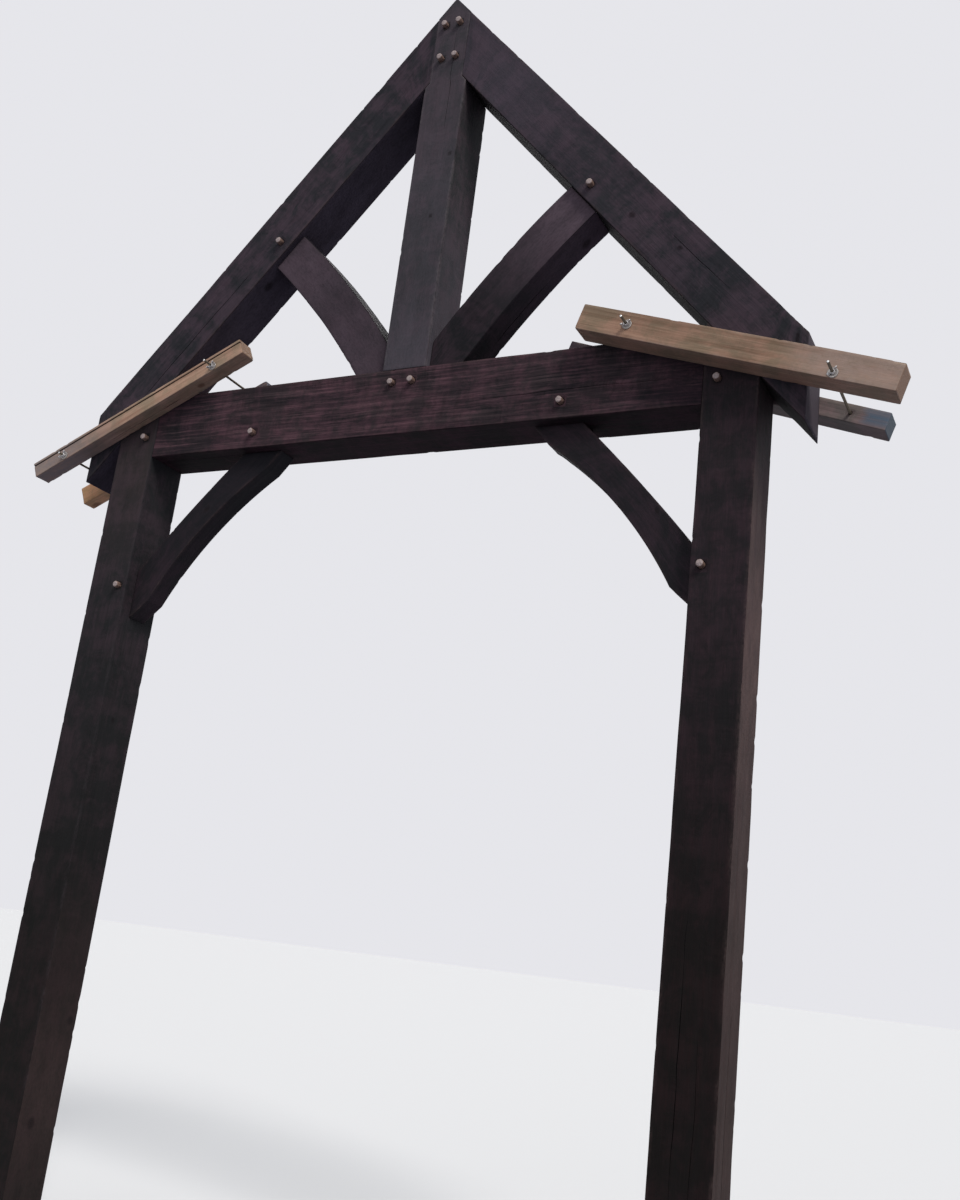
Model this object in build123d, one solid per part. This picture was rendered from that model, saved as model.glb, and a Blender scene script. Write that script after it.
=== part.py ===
"""A pegged timber bent: two posts, a tie beam, a king post, two rafters, two curved struts and two knee
braces, with the battens and threaded rods that clamp each eave while the bent is handled.

Every joint is cut in full: tenons, mortises, housings and peg bores. The bent stands in the XZ plane, and
its middle plane is Y = 0 with the front at -Y. The right half is drawn, and the left half is its mirror.
The origin is the middle of the left post's foot. All lengths are in millimetres.
"""

from build123d import *
import math
import os

# Main timbers
thickness = 200.0          # front to back of posts, tie beam, king post and rafters
post_face = 195.0          # width of a post across its front face
king_face = 195.0          # width of the king post across its front face
tie_depth = 275.0
rafter_depth = 211.0       # square to the roof slope
span = 2600.0              # between the middles of the posts
soffit_height = 3000.0     # from the posts' feet to the underside of the tie beam
heel_rise = 311.0          # from the tie beam's underside to the rafter's, at the post's inner face
pitch = 49.0               # roof slope, degrees
tail_reach = 155.5         # of the rafter's plumb cut past the outer face of the post

# Curved struts
strut_thickness = 145.0
strut_depth = 180.0
strut_radius = 3770.0      # of the strut's middle line, which bows upwards
strut_foot_out = 125.0     # middle line at the top of the tie beam, from the king post's middle
strut_head_out = 674.0     # middle line at the underside of the rafter, from the king post's middle

# Knee braces
brace_thickness = 95.0
brace_run = 447.5          # upper edge along the tie beam, from the post
brace_drop = 494.0         # upper edge down the post, from the tie beam
brace_tie_seat = 192.0     # bearing of the brace on the tie beam
brace_post_seat = 206.0    # bearing of the brace on the post
brace_tie_nose = (61.0, 74.0)     # along and down from the far end of the seat to the arched edge
brace_post_nose = (82.5, 73.0)    # out and up from the low end of the seat to the arched edge
brace_arch = 44.0          # rise of the arched lower edge over its chord
brace_crown = 8.0          # rise of the upper edge over its chord

# Joints
tenon_thickness = 50.0     # of the tenons on the main timbers
light_tenon = 40.0         # of the tenons on struts and braces
cheek_clearance = 0.4      # between a tenon and the walls of its mortise
floor_clearance = 4.0      # between a tenon's end and the floor of its mortise
king_housing = 20.0        # depth of the rafter's housing in the king post
rafter_tenon_gap = 24.0    # between the ends of the two rafter tenons in the king post
rafter_tenon_inset = 30.0  # of that tenon from the rafter's top and underside
king_tenon_width = 140.0
king_tenon_length = 110.0
post_tenon_width = 110.0
post_tenon_length = 70.0
tie_tenon_length = 120.0
tie_tenon_height = 110.0
tie_tenon_lift = 30.0      # of the tie beam's tenon above its underside
strut_tenon_length = 85.0
strut_tenon_inset = 25.0   # of the strut's head tenon from its two edges
strut_foot_tenon = (90.0, 45.0)   # width and length of the stub tenon in the tie beam
strut_foot_step = 22.0     # of that stub tenon from the king post
brace_tenon_length = 90.0
brace_tenon_inset = 20.0   # of a brace's tenon from the ends of its seat

# Pegs
peg_diameter = 26.0
peg_bore_clearance = 0.3   # on the radius
peg_proud_front = 26.0
peg_proud_back = 46.0
peg_taper = 40.0           # length of the pointed end
peg_point = 14.0           # diameter at the tip
peg_chamfer = 2.0
tie_peg = (51.5, 91.0)     # from the post's inner face, and above the underside of the tie beam
brace_tie_peg = (521.5, 65.0)     # from the post's inner face, and above the underside of the tie beam
brace_post_peg = (39.5, 572.0)    # into the post from its inner face, and below the tie beam
strut_peg_lift = 53.0      # above the rafter's underside, square to it
king_foot_peg = (45.0, 57.0)      # out from the middle, and below the top of the tie beam
rafter_peg_out = 34.0      # from the king post's middle
rafter_peg_drops = (134.0, 303.0)  # below the point of the king post

# Clamps at the eaves
rod_diameter = 10.0
rod_bore_clearance = 0.5   # on the radius
rod_past_wing_nut = {"right_inner": 49.0, "right_outer": 65.0, "left_inner": 43.0, "left_outer": 20.0}
rod_past_hex_nut = 14.0
washer_diameter = 36.0
washer_thickness = 3.0
nut_height = 10.0
nut_flats = 17.0
wing_span = 40.0
wing_height = 20.0
wing_thickness = 5.0
wing_root_height = 8.0     # of the wing's upper edge where it leaves the hub
wing_ear_width = 6.0       # across the rounded end of a wing
groove_width = 7.0         # of the groove along the face of the left front batten
groove_depth = 5.0
groove_from_edge = 10.0

# Each rod as: in from the post's inner face or out from the tail's cut, and above the tie beam's underside.
right_rods = {"inner": (253.5, 281.5), "outer": (103.0, 16.0)}
left_rods = {"inner": (312.5, 350.5), "outer": (76.0, 7.5)}

# Each batten, by name. Its rise is that of its middle line over the outer rod, and its two ends are given
# by how far they run past the inner and the outer rod.
batten_width = {"right_front": 98.0, "right_rear": 66.0, "left_front": 71.0, "left_rear": 86.0}
batten_depth = {"right_front": 100.0, "right_rear": 95.0, "left_front": 79.0, "left_rear": 66.0}
batten_angle = {"right_front": 18.3, "right_rear": 19.4, "left_front": 24.9, "left_rear": 24.7}
batten_rise = {"right_front": 31.0, "right_rear": 0.5, "left_front": 17.0, "left_rear": -9.0}
batten_past_inner = {"right_front": 190.5, "right_rear": 372.0, "left_front": 144.5, "left_rear": 86.0}
batten_past_outer = {"right_front": 217.0, "right_rear": 131.5, "left_front": 177.5, "left_rear": 154.5}

# Places worked out from the sizes above, measured from the bent's middle line
slope = math.tan(math.radians(pitch))
square = math.cos(math.radians(pitch))
post_middle = span / 2
post_inner = post_middle - post_face / 2
post_outer = post_middle + post_face / 2
king_half = king_face / 2
king_shoulder = king_half - king_housing
tail_out = post_outer + tail_reach
tie_top = soffit_height + tie_depth
ridge_height = soffit_height + heel_rise + post_inner * slope + rafter_depth / square
front = -thickness / 2
back = thickness / 2


def roof_line(out, below=0.0):
    """Height, at a distance out from the middle, of the line that lies below the roof slope, square to it."""
    return ridge_height - out * slope - below / square


def outline(*points):
    """A face in the plane of the bent, from points (out, height)."""
    return Plane.XZ * Polygon(*points, align=None)


def slab(face, depth):
    """A face of the bent's plane thickened equally to front and back."""
    return extrude(face, amount=depth / 2, both=True)


def block(left, right, low, high, depth):
    """A square block centred on the bent's middle plane."""
    return slab(outline((left, low), (right, low), (right, high), (left, high)), depth)


def bore(out, height, radius):
    """A cylinder right through the bent from front to back."""
    return Pos(out, 0, height) * Rot(90, 0, 0) * Cylinder(radius, 2 * thickness)


def roof_strip(near, far, top, bottom):
    """The strip between two plumb lines and two lines below the roof slope."""
    return outline(
        (near, roof_line(near, bottom)),
        (far, roof_line(far, bottom)),
        (far, roof_line(far, top)),
        (near, roof_line(near, top)),
    )


def mirrored(solid):
    """The same piece on the left side of the bent."""
    return mirror(solid, about=Plane.YZ)


# Tenons. With clear above 0 each is the cutter of its mortise.
def rafter_tenon(clear=0.0):
    tip = rafter_tenon_gap / 2 - (floor_clearance if clear else 0.0)
    inset = rafter_tenon_inset - clear
    strip = roof_strip(tip, king_shoulder, inset, rafter_depth - inset)
    return slab(strip, tenon_thickness + 2 * clear)


def post_tenon(clear=0.0):
    half = post_tenon_width / 2 + clear
    near, far = post_middle - half, post_middle + half
    length = post_tenon_length + (floor_clearance if clear else 0.0)
    foot_near, foot_far = roof_line(near, rafter_depth), roof_line(far, rafter_depth)
    face = outline((near, foot_near), (far, foot_far), (far, foot_far + length), (near, foot_near + length))
    return slab(face, tenon_thickness + 2 * clear)


def tie_tenon(clear=0.0):
    length = tie_tenon_length + (floor_clearance if clear else 0.0)
    low = soffit_height + tie_tenon_lift - clear
    high = soffit_height + tie_tenon_lift + tie_tenon_height + clear
    return block(post_inner, post_inner + length, low, high, tenon_thickness + 2 * clear)


def king_tenon(clear=0.0):
    half = king_tenon_width / 2 + clear
    length = king_tenon_length + (floor_clearance if clear else 0.0)
    return block(-half, half, tie_top - length, tie_top, tenon_thickness + 2 * clear)


def strut_foot(clear=0.0):
    width, length = strut_foot_tenon
    near = king_half + strut_foot_step - clear
    far = king_half + strut_foot_step + width + clear
    floor = tie_top - length - (floor_clearance if clear else 0.0)
    return block(near, far, floor, tie_top, light_tenon + 2 * clear)


def strut_head(clear=0.0):
    length = strut_tenon_length + (floor_clearance if clear else 0.0)
    region = roof_strip(king_half, post_inner, rafter_depth - length, rafter_depth)
    return slab(strut_band(strut_tenon_inset - clear) & region, light_tenon + 2 * clear)


def brace_head(clear=0.0):
    near = post_inner - brace_run - brace_tie_seat + brace_tenon_inset - clear
    far = post_inner - brace_run - brace_tenon_inset + clear
    length = brace_tenon_length + (floor_clearance if clear else 0.0)
    return block(near, far, soffit_height, soffit_height + length, light_tenon + 2 * clear)


def brace_foot(clear=0.0):
    high = soffit_height - brace_drop - brace_tenon_inset + clear
    low = soffit_height - brace_drop - brace_post_seat + brace_tenon_inset - clear
    length = brace_tenon_length + (floor_clearance if clear else 0.0)
    return block(post_inner, post_inner + length, low, high, light_tenon + 2 * clear)


# Places of the pegs on the right half, as (out, height)
def strut_axis_centre():
    """Middle of the circle of the strut's middle line, below and outside it, and the line's head."""
    foot = Vector(strut_foot_out, tie_top)
    head = Vector(strut_head_out, roof_line(strut_head_out, rafter_depth))
    chord = head - foot
    across = Vector(chord.Y, -chord.X).normalized()
    reach = math.sqrt(strut_radius**2 - (chord.length / 2) ** 2)
    return foot + chord * 0.5 + across * reach, head


def strut_band(inset=0.0):
    """The curved band between the strut's two edges, each moved in by the inset."""
    centre, _ = strut_axis_centre()
    outer = Circle(strut_radius + strut_depth / 2 - inset)
    inner = Circle(strut_radius - strut_depth / 2 + inset)
    return Plane.XZ * Pos(centre.X, centre.Y) * (outer - inner)


def strut_peg_place():
    """On the strut's middle line, inside the rafter."""
    centre, head = strut_axis_centre()
    along = Vector(head.Y - centre.Y, centre.X - head.X).normalized()
    up_slope_normal = Vector(math.sin(math.radians(pitch)), square)
    reach = strut_peg_lift / along.dot(up_slope_normal)
    place = head + along * reach
    return place.X, place.Y


peg_places = {
    "rafter_upper": (rafter_peg_out, ridge_height - rafter_peg_drops[0]),
    "rafter_lower": (rafter_peg_out, ridge_height - rafter_peg_drops[1]),
    "king_foot": (king_foot_peg[0], tie_top - king_foot_peg[1]),
    "strut": strut_peg_place(),
    "tie": (post_inner + tie_peg[0], soffit_height + tie_peg[1]),
    "brace_tie": (post_inner - brace_tie_peg[0], soffit_height + brace_tie_peg[1]),
    "brace_post": (post_inner + brace_post_peg[0], soffit_height - brace_post_peg[1]),
}


def bored(solid, *names):
    """The piece with the bores of the named pegs, on the right half."""
    for name in names:
        solid -= bore(*peg_places[name], peg_diameter / 2 + peg_bore_clearance)
    return solid


def both_sides(cutter):
    """A cutter of the right half joined to its mirror."""
    return cutter + mirrored(cutter)


def make_post():
    """The right post, its head cut to the underside of the rafter."""
    face = outline(
        (post_inner, 0),
        (post_outer, 0),
        (post_outer, roof_line(post_outer, rafter_depth)),
        (post_inner, roof_line(post_inner, rafter_depth)),
    )
    post = slab(face, thickness) + post_tenon()
    post -= tie_tenon(cheek_clearance)
    post -= brace_foot(cheek_clearance)
    return bored(post, "tie", "brace_post")


def make_tie():
    """The tie beam between the posts, mortised for the king post, struts and braces."""
    tie = block(-post_inner, post_inner, soffit_height, tie_top, thickness) + both_sides(tie_tenon())
    tie -= king_tenon(cheek_clearance)
    tie -= both_sides(strut_foot(cheek_clearance))
    tie -= both_sides(brace_head(cheek_clearance))
    for name in ("tie", "king_foot", "brace_tie"):
        tie -= both_sides(bore(*peg_places[name], peg_diameter / 2 + peg_bore_clearance))
    return tie


def make_king_post():
    """The king post, its head cut to both roof slopes and housed for the rafters."""
    face = outline(
        (-king_half, tie_top),
        (king_half, tie_top),
        (king_half, roof_line(king_half)),
        (0, ridge_height),
        (-king_half, roof_line(king_half)),
    )
    king = slab(face, thickness) + king_tenon()
    king -= both_sides(slab(roof_strip(king_shoulder, king_half, 0, rafter_depth), thickness))
    king -= both_sides(rafter_tenon(cheek_clearance))
    for name in ("rafter_upper", "rafter_lower", "king_foot"):
        king -= both_sides(bore(*peg_places[name], peg_diameter / 2 + peg_bore_clearance))
    return king


def make_rafter():
    """The right rafter, from its housing in the king post to the plumb cut of its tail."""
    rafter = slab(roof_strip(king_shoulder, tail_out, 0, rafter_depth), thickness) + rafter_tenon()
    rafter -= post_tenon(cheek_clearance)
    rafter -= strut_head(cheek_clearance)
    return bored(rafter, "rafter_upper", "rafter_lower", "strut")


def make_strut():
    """The right curved strut, from the corner of king post and tie beam to the rafter."""
    bay = outline(
        (king_half, tie_top),
        (post_inner, tie_top),
        (post_inner, roof_line(post_inner, rafter_depth)),
        (king_half, roof_line(king_half, rafter_depth)),
    )
    strut = slab(strut_band() & bay, strut_thickness)
    strut += strut_head() + strut_foot()
    return bored(strut, "strut")


def make_brace():
    """The right knee brace, with an arched lower edge and a short nose cut at each end."""
    tie_near = (post_inner - brace_run, soffit_height)
    tie_far = (tie_near[0] - brace_tie_seat, soffit_height)
    post_near = (post_inner, soffit_height - brace_drop)
    post_far = (post_inner, post_near[1] - brace_post_seat)
    nose_head = (tie_far[0] + brace_tie_nose[0], tie_far[1] - brace_tie_nose[1])
    nose_foot = (post_far[0] - brace_post_nose[0], post_far[1] + brace_post_nose[1])
    edges = [
        SagittaArc(tie_near, post_near, -brace_crown),
        Line(post_near, post_far),
        Line(post_far, nose_foot),
        SagittaArc(nose_foot, nose_head, brace_arch),
        Line(nose_head, tie_far),
        Line(tie_far, tie_near),
    ]
    face = Plane.XZ * make_face(Curve() + edges)
    brace = slab(face, brace_thickness) + brace_head() + brace_foot()
    return bored(brace, "brace_tie", "brace_post")


def make_peg():
    """A peg along Y: a chamfered head at the front, and a long tapered point at the back."""
    radius = peg_diameter / 2
    head = front - peg_proud_front
    tip = back + peg_proud_back
    half_section = [
        (0, head),
        (radius - peg_chamfer, head),
        (radius, head + peg_chamfer),
        (radius, tip - peg_taper),
        (peg_point / 2, tip),
        (0, tip),
    ]
    return revolve(Polygon(*half_section, align=None), Axis.Y)


# Clamps. A batten's own line of middle points runs down and out from the inner rod to the outer one.
def rod_places(side):
    """The two rods of one clamp, as (out, height)."""
    rods = right_rods if side == "right" else left_rods
    inner, outer = rods["inner"], rods["outer"]
    return (
        (post_inner - inner[0], soffit_height + inner[1]),
        (tail_out + outer[0], soffit_height + outer[1]),
    )


def make_batten(name):
    """One batten of a clamp, drawn on the right side, bored for its two rods."""
    side, place = name.split("_")
    width, depth, rise = batten_width[name], batten_depth[name], batten_rise[name]
    angle = batten_angle[name]
    past_inner, past_outer = batten_past_inner[name], batten_past_outer[name]
    inner, outer = rod_places(side)
    run = (outer[0] - inner[0]) / math.cos(math.radians(angle))
    middle_y = front - depth / 2 if place == "front" else back + depth / 2
    # The batten is drawn level, with the outer rod's plumb line at its own zero, and then turned.
    batten = Pos((past_outer - past_inner - run) / 2, 0, 0) * Box(run + past_inner + past_outer, depth, width)
    if name == "left_front":
        groove_z = width / 2 - groove_from_edge - groove_width / 2
        batten -= Pos(-run / 2, -depth / 2, groove_z) * Box(2 * run + past_inner, 2 * groove_depth, groove_width)
    batten = Pos(outer[0], middle_y, outer[1] + rise) * Rot(0, angle, 0) * batten
    for rod in (inner, outer):
        batten -= Pos(rod[0], middle_y, rod[1]) * Rot(90, 0, 0) * Cylinder(
            rod_diameter / 2 + rod_bore_clearance, 2 * depth
        )
    return batten


def clamp_faces(side):
    """Where the outer faces of a clamp's front and rear battens lie along Y."""
    return front - batten_depth[side + "_front"], back + batten_depth[side + "_rear"]


def make_rod(side, where, place):
    """A plain length for the threaded rod, from past its front nut to past its rear nut."""
    near, far = clamp_faces(side)
    low = near - washer_thickness - nut_height - rod_past_wing_nut[f"{side}_{where}"]
    high = far + washer_thickness + nut_height + rod_past_hex_nut
    rod = Pos(0, (low + high) / 2, 0) * Rot(90, 0, 0) * Cylinder(rod_diameter / 2, high - low)
    return Pos(place[0], 0, place[1]) * rod


def make_washer(face, outward, place):
    """A round washer on the outer face of a batten."""
    disc = Cylinder(washer_diameter / 2, washer_thickness)
    disc -= Cylinder(rod_diameter / 2 + rod_bore_clearance, 2 * washer_thickness)
    return Pos(place[0], face + outward * washer_thickness / 2, place[1]) * Rot(90, 0, 0) * disc


def make_hex_nut(face, place):
    """A hexagon nut behind the rear washer."""
    nut = extrude(RegularPolygon(nut_flats / 2, 6, major_radius=False), amount=nut_height)
    nut -= Cylinder(rod_diameter / 2 + cheek_clearance, 4 * nut_height)
    return Pos(place[0], face + washer_thickness + nut_height, place[1]) * Rot(90, 0, 0) * nut


def make_wing_nut(face, place, turn):
    """A wing nut in front of the front washer, turned as it was left."""
    hub = Cylinder(nut_flats / 2, nut_height, align=(Align.CENTER, Align.CENTER, Align.MIN))
    root, tip = rod_diameter / 2 + 2 * cheek_clearance, wing_span / 2
    wing_face = Polygon(
        (root, 0),
        (tip - wing_ear_width, wing_root_height),
        (tip, wing_height - wing_ear_width),
        (tip - wing_ear_width, wing_height),
        (root, wing_root_height),
        align=None,
    )
    wing = extrude(Plane.XZ * wing_face, amount=wing_thickness / 2, both=True)
    nut = hub + wing + mirror(wing, about=Plane.YZ)
    nut -= Cylinder(rod_diameter / 2 + cheek_clearance, 4 * nut_height)
    return Pos(place[0], face - washer_thickness, place[1]) * Rot(90, 0, 0) * Rot(0, 0, turn) * nut


def frame_nodes():
    """The bent's timbers by node name."""
    nodes = {"tie_beam": make_tie(), "king_post": make_king_post()}
    for name, make in (("post", make_post), ("rafter", make_rafter), ("strut", make_strut), ("brace", make_brace)):
        right = make()
        nodes["right_" + name] = right
        nodes["left_" + name] = mirrored(right)
    return nodes


def peg_nodes():
    """The pegs by node name."""
    peg = make_peg()
    nodes = {}
    for name, (out, height) in peg_places.items():
        nodes[f"right_peg_{name}"] = Pos(out, 0, height) * peg
        nodes[f"left_peg_{name}"] = Pos(-out, 0, height) * peg
    return nodes


def clamp_nodes(side, turns):
    """One clamp's battens, rods, washers and nuts by node name."""
    near, far = clamp_faces(side)
    nodes = {f"{side}_batten_front": make_batten(side + "_front"), f"{side}_batten_rear": make_batten(side + "_rear")}
    for where, place, turn in zip(("inner", "outer"), rod_places(side), turns):
        nodes[f"{side}_rod_{where}"] = make_rod(side, where, place)
        nodes[f"{side}_washer_front_{where}"] = make_washer(near, -1, place)
        nodes[f"{side}_washer_rear_{where}"] = make_washer(far, 1, place)
        nodes[f"{side}_wing_nut_{where}"] = make_wing_nut(near, place, turn)
        nodes[f"{side}_hex_nut_{where}"] = make_hex_nut(far, place)
    return nodes


def write(nodes):
    """One STEP file a node, moved so that the left post's foot is at the origin."""
    os.makedirs("parts", exist_ok=True)
    for name, solid in nodes.items():
        export_step(Pos(post_middle, 0, 0) * solid, f"parts/{name}.step")


right_clamp = clamp_nodes("right", (20, 40))
left_clamp = {name: mirrored(solid) for name, solid in clamp_nodes("left", (-45, -48)).items()}
write({**frame_nodes(), **peg_nodes(), **right_clamp, **left_clamp})
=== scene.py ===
"""A pegged timber bent in dark stained oak, with bare battens clamped across each eave.

The shapes are surfaces worked out with numpy in the frame of the CAD model, in metres. Each stick is a
rounded rectangle carried along its own line, and each turned or threaded piece is a radius given over angle
and length.
"""

import math
from collections import namedtuple
import bpy
import numpy as np
from mathutils import Matrix


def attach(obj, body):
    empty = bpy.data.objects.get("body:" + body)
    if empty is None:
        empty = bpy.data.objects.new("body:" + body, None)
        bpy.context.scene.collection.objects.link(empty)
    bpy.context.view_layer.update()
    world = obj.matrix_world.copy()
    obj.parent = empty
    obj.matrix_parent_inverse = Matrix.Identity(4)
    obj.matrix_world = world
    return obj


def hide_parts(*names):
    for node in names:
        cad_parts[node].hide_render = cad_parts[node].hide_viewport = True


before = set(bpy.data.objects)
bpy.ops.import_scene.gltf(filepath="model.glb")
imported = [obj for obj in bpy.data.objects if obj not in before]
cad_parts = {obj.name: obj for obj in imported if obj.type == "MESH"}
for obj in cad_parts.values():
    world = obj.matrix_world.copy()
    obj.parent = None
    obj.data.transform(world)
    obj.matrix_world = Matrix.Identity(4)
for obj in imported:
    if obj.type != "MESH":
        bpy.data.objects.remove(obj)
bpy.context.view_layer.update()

# Main sizes, the same as the CAD model's
THICKNESS = 0.200
POST_FACE = 0.195
KING_FACE = 0.195
TIE_DEPTH = 0.275
RAFTER_DEPTH = 0.211
SPAN = 2.600
SOFFIT = 3.000
HEEL_RISE = 0.311
PITCH = math.radians(49.0)
TAIL_REACH = 0.1555
STRUT_THICKNESS = 0.145
STRUT_DEPTH = 0.180
STRUT_RADIUS = 3.770
STRUT_FOOT_OUT = 0.125
STRUT_HEAD_OUT = 0.674
BRACE_THICKNESS = 0.095
BRACE_DEPTH = 0.170
BRACE_LENGTH = 0.80
BRACE_RUN = 0.4475
BRACE_DROP = 0.494
BRACE_FAR = 0.6395
BRACE_LOW = 0.700
BRACE_TIE_NOSE = (0.061, 0.074)
BRACE_POST_NOSE = (0.0825, 0.073)
BRACE_ARCH = 0.044
BRACE_CROWN = 0.008
KING_HOUSING = 0.020
PEG_RADIUS = 0.013
PEG_CLEARANCE = 0.0003
PEG_PROUD_FRONT = 0.026
PEG_PROUD_BACK = 0.046
PEG_TAPER = 0.040
STRUT_PEG_LIFT = 0.053
ROD_RADIUS = 0.005
ROD_CLEARANCE = 0.0005
NUT_CLEARANCE = 0.0002
THREAD_PITCH = 0.0015
THREAD_DEPTH = 0.0008
WASHER_RADIUS = 0.018
WASHER_THICKNESS = 0.003
NUT_HEIGHT = 0.010
NUT_FLATS = 0.017
ROD_PAST_WING_NUT = {"right": {"inner": 0.049, "outer": 0.065}, "left": {"inner": 0.043, "outer": 0.020}}
ROD_PAST_HEX_NUT = 0.014

# Places worked out from them, measured out from the bent's middle line
MIDDLE = SPAN / 2
SLOPE = math.tan(PITCH)
POST_INNER = SPAN / 2 - POST_FACE / 2
POST_OUTER = SPAN / 2 + POST_FACE / 2
TAIL_OUT = POST_OUTER + TAIL_REACH
TIE_TOP = SOFFIT + TIE_DEPTH
RIDGE = SOFFIT + HEEL_RISE + POST_INNER * SLOPE + RAFTER_DEPTH / math.cos(PITCH)
KING_HALF = KING_FACE / 2
KING_SHOULDER = KING_HALF - KING_HOUSING
FRONT = -THICKNESS / 2
BACK = THICKNESS / 2
SIDES = {"left": -1, "right": 1}

# Each stick's own number, and how far its grain starts from that of the stick with the next number
SEEDS = {
    "left_post": 11, "right_post": 12, "tie_beam": 13, "king_post": 14,
    "left_rafter": 15, "right_rafter": 16, "left_strut": 17, "right_strut": 18,
    "left_brace": 19, "right_brace": 20,
    "right_batten_front": 31, "right_batten_rear": 32, "left_batten_front": 33, "left_batten_rear": 34,
}
FIRST_PEG_SEED = 40
GRAIN_STEP = 1.37


def roof_line(out, below=0.0):
    """Height over a point out from the middle, of a line set below the roof slope and square to it."""
    return RIDGE - np.abs(out) * SLOPE - below / math.cos(PITCH)


def on_side(side, out, through, height):
    """Points in the model's frame from metres out from the middle line, through the bent, and up."""
    return np.stack([MIDDLE + side * out, through, height], -1)


# Numbers that look random but stay the same in every run
def corner_number(column, row, seed):
    """A number from 0 to 1 for each whole-number corner: what follows the point in a large sine.

    The constants only have to be unlike each other, and the last one large.
    """
    number = np.sin(column * 127.1 + row * 311.7 + seed * 74.7) * 43758.5453
    return number - np.floor(number)


def noise(x, y, seed):
    """Smooth noise from -1 to 1: the four corner numbers round a point, mixed by 3t^2 - 2t^3 each way."""
    x, y = np.broadcast_arrays(np.asarray(x, float), np.asarray(y, float))
    column, row = np.floor(x), np.floor(y)
    u, v = x - column, y - row
    u, v = u * u * (3 - 2 * u), v * v * (3 - 2 * v)
    low = corner_number(column, row, seed) * (1 - u) + corner_number(column + 1, row, seed) * u
    high = corner_number(column, row + 1, seed) * (1 - u) + corner_number(column + 1, row + 1, seed) * u
    return 2 * (low * (1 - v) + high * v) - 1


# Meshes
NO_TRIANGLES = np.zeros((0, 3), int)


class Surface:
    """A piece's points, faces and numbers for each point, gathered patch by patch."""

    def __init__(self, *labels):
        self.points, self.quads, self.triangles = [], [], []
        self.values = {label: [] for label in labels}
        self.count = 0

    def add(self, points, quads, triangles=NO_TRIANGLES, **values):
        """Add a patch. Faces count from the piece's first point, and numbers that aren't given are 0."""
        self.points.append(points)
        self.quads.append(quads)
        self.triangles.append(triangles)
        for label, found in self.values.items():
            found.append(values.get(label, np.zeros(len(points))))
        self.count += len(points)

    def next_loops(self, size, loops):
        """The numbers that the points of so many new loops will have."""
        return list(self.count + np.arange(loops * size).reshape(loops, size))


def make_piece(name, surface, material, node):
    """A mesh of a surface, turned outwards by the sign of its volume, that stands for one CAD node."""
    points, quads = np.concatenate(surface.points), np.concatenate(surface.quads)
    triangles = np.concatenate(surface.triangles)
    sizes = np.repeat([4, 3], [len(quads), len(triangles)])
    mesh = bpy.data.meshes.new(name)
    mesh.vertices.add(len(points))
    mesh.vertices.foreach_set("co", points.astype(np.float32).reshape(-1))
    mesh.loops.add(int(sizes.sum()))
    corners = np.concatenate([quads.reshape(-1), triangles.reshape(-1)])
    mesh.loops.foreach_set("vertex_index", corners.astype(np.int32))
    mesh.polygons.add(len(sizes))
    mesh.polygons.foreach_set("loop_start", (np.cumsum(sizes) - sizes).astype(np.int32))
    mesh.polygons.foreach_set("use_smooth", np.ones(len(sizes), bool))
    mesh.update(calc_edges=True)
    if signed_volume(points, quads, triangles) < 0:
        mesh.flip_normals()
    for label, found in surface.values.items():
        numbers = np.concatenate(found)
        kind, key = ("FLOAT_VECTOR", "vector") if numbers.ndim == 2 else ("FLOAT", "value")
        layer = mesh.attributes.new(label, kind, "POINT")
        layer.data.foreach_set(key, numbers.astype(np.float32).reshape(-1))
    mesh.materials.append(material)
    piece = bpy.data.objects.new(name, mesh)
    bpy.context.scene.collection.objects.link(piece)
    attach(piece, "root")
    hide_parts(node)
    return piece


def signed_volume(points, quads, triangles):
    """A sixth of the sum, over all triangles, of the first corner times the cross product of the others."""
    total = 0.0
    for face in (quads[:, [0, 1, 2]], quads[:, [0, 2, 3]], triangles):
        a, b, c = (points[face[:, k]] for k in range(3))
        total += float(np.einsum("ij,ij->i", a, np.cross(b, c)).sum())
    return total / 6


def grid_quads(rows, columns, ring=False):
    """Quads between neighbouring rows, which are closed loops. In a ring the last row meets the first."""
    i, j = np.meshgrid(np.arange(rows if ring else rows - 1), np.arange(columns), indexing="ij")
    after, beside = (i + 1) % rows, (j + 1) % columns
    corners = [i * columns + j, i * columns + beside, after * columns + beside, after * columns + j]
    return np.stack(corners, -1).reshape(-1, 4)


def loop_quads(loops):
    """Quads between each two neighbouring loops of point numbers."""
    return np.concatenate([np.stack([outer, np.roll(outer, -1), np.roll(inner, -1), inner], -1)
                           for outer, inner in zip(loops, loops[1:])])


def fan(loop, middle):
    """Triangles from a loop of point numbers to a middle point."""
    return np.stack([loop, np.roll(loop, -1), np.full(len(loop), middle)], -1)


def end_fans(first, rows, columns):
    """Fans that close a grid's first and last rows, each to one of two points that follow the grid."""
    loop, count = first + np.arange(columns), first + rows * columns
    return np.concatenate([fan(loop, count)[:, [1, 0, 2]], fan(loop + (rows - 1) * columns, count + 1)])


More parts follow.
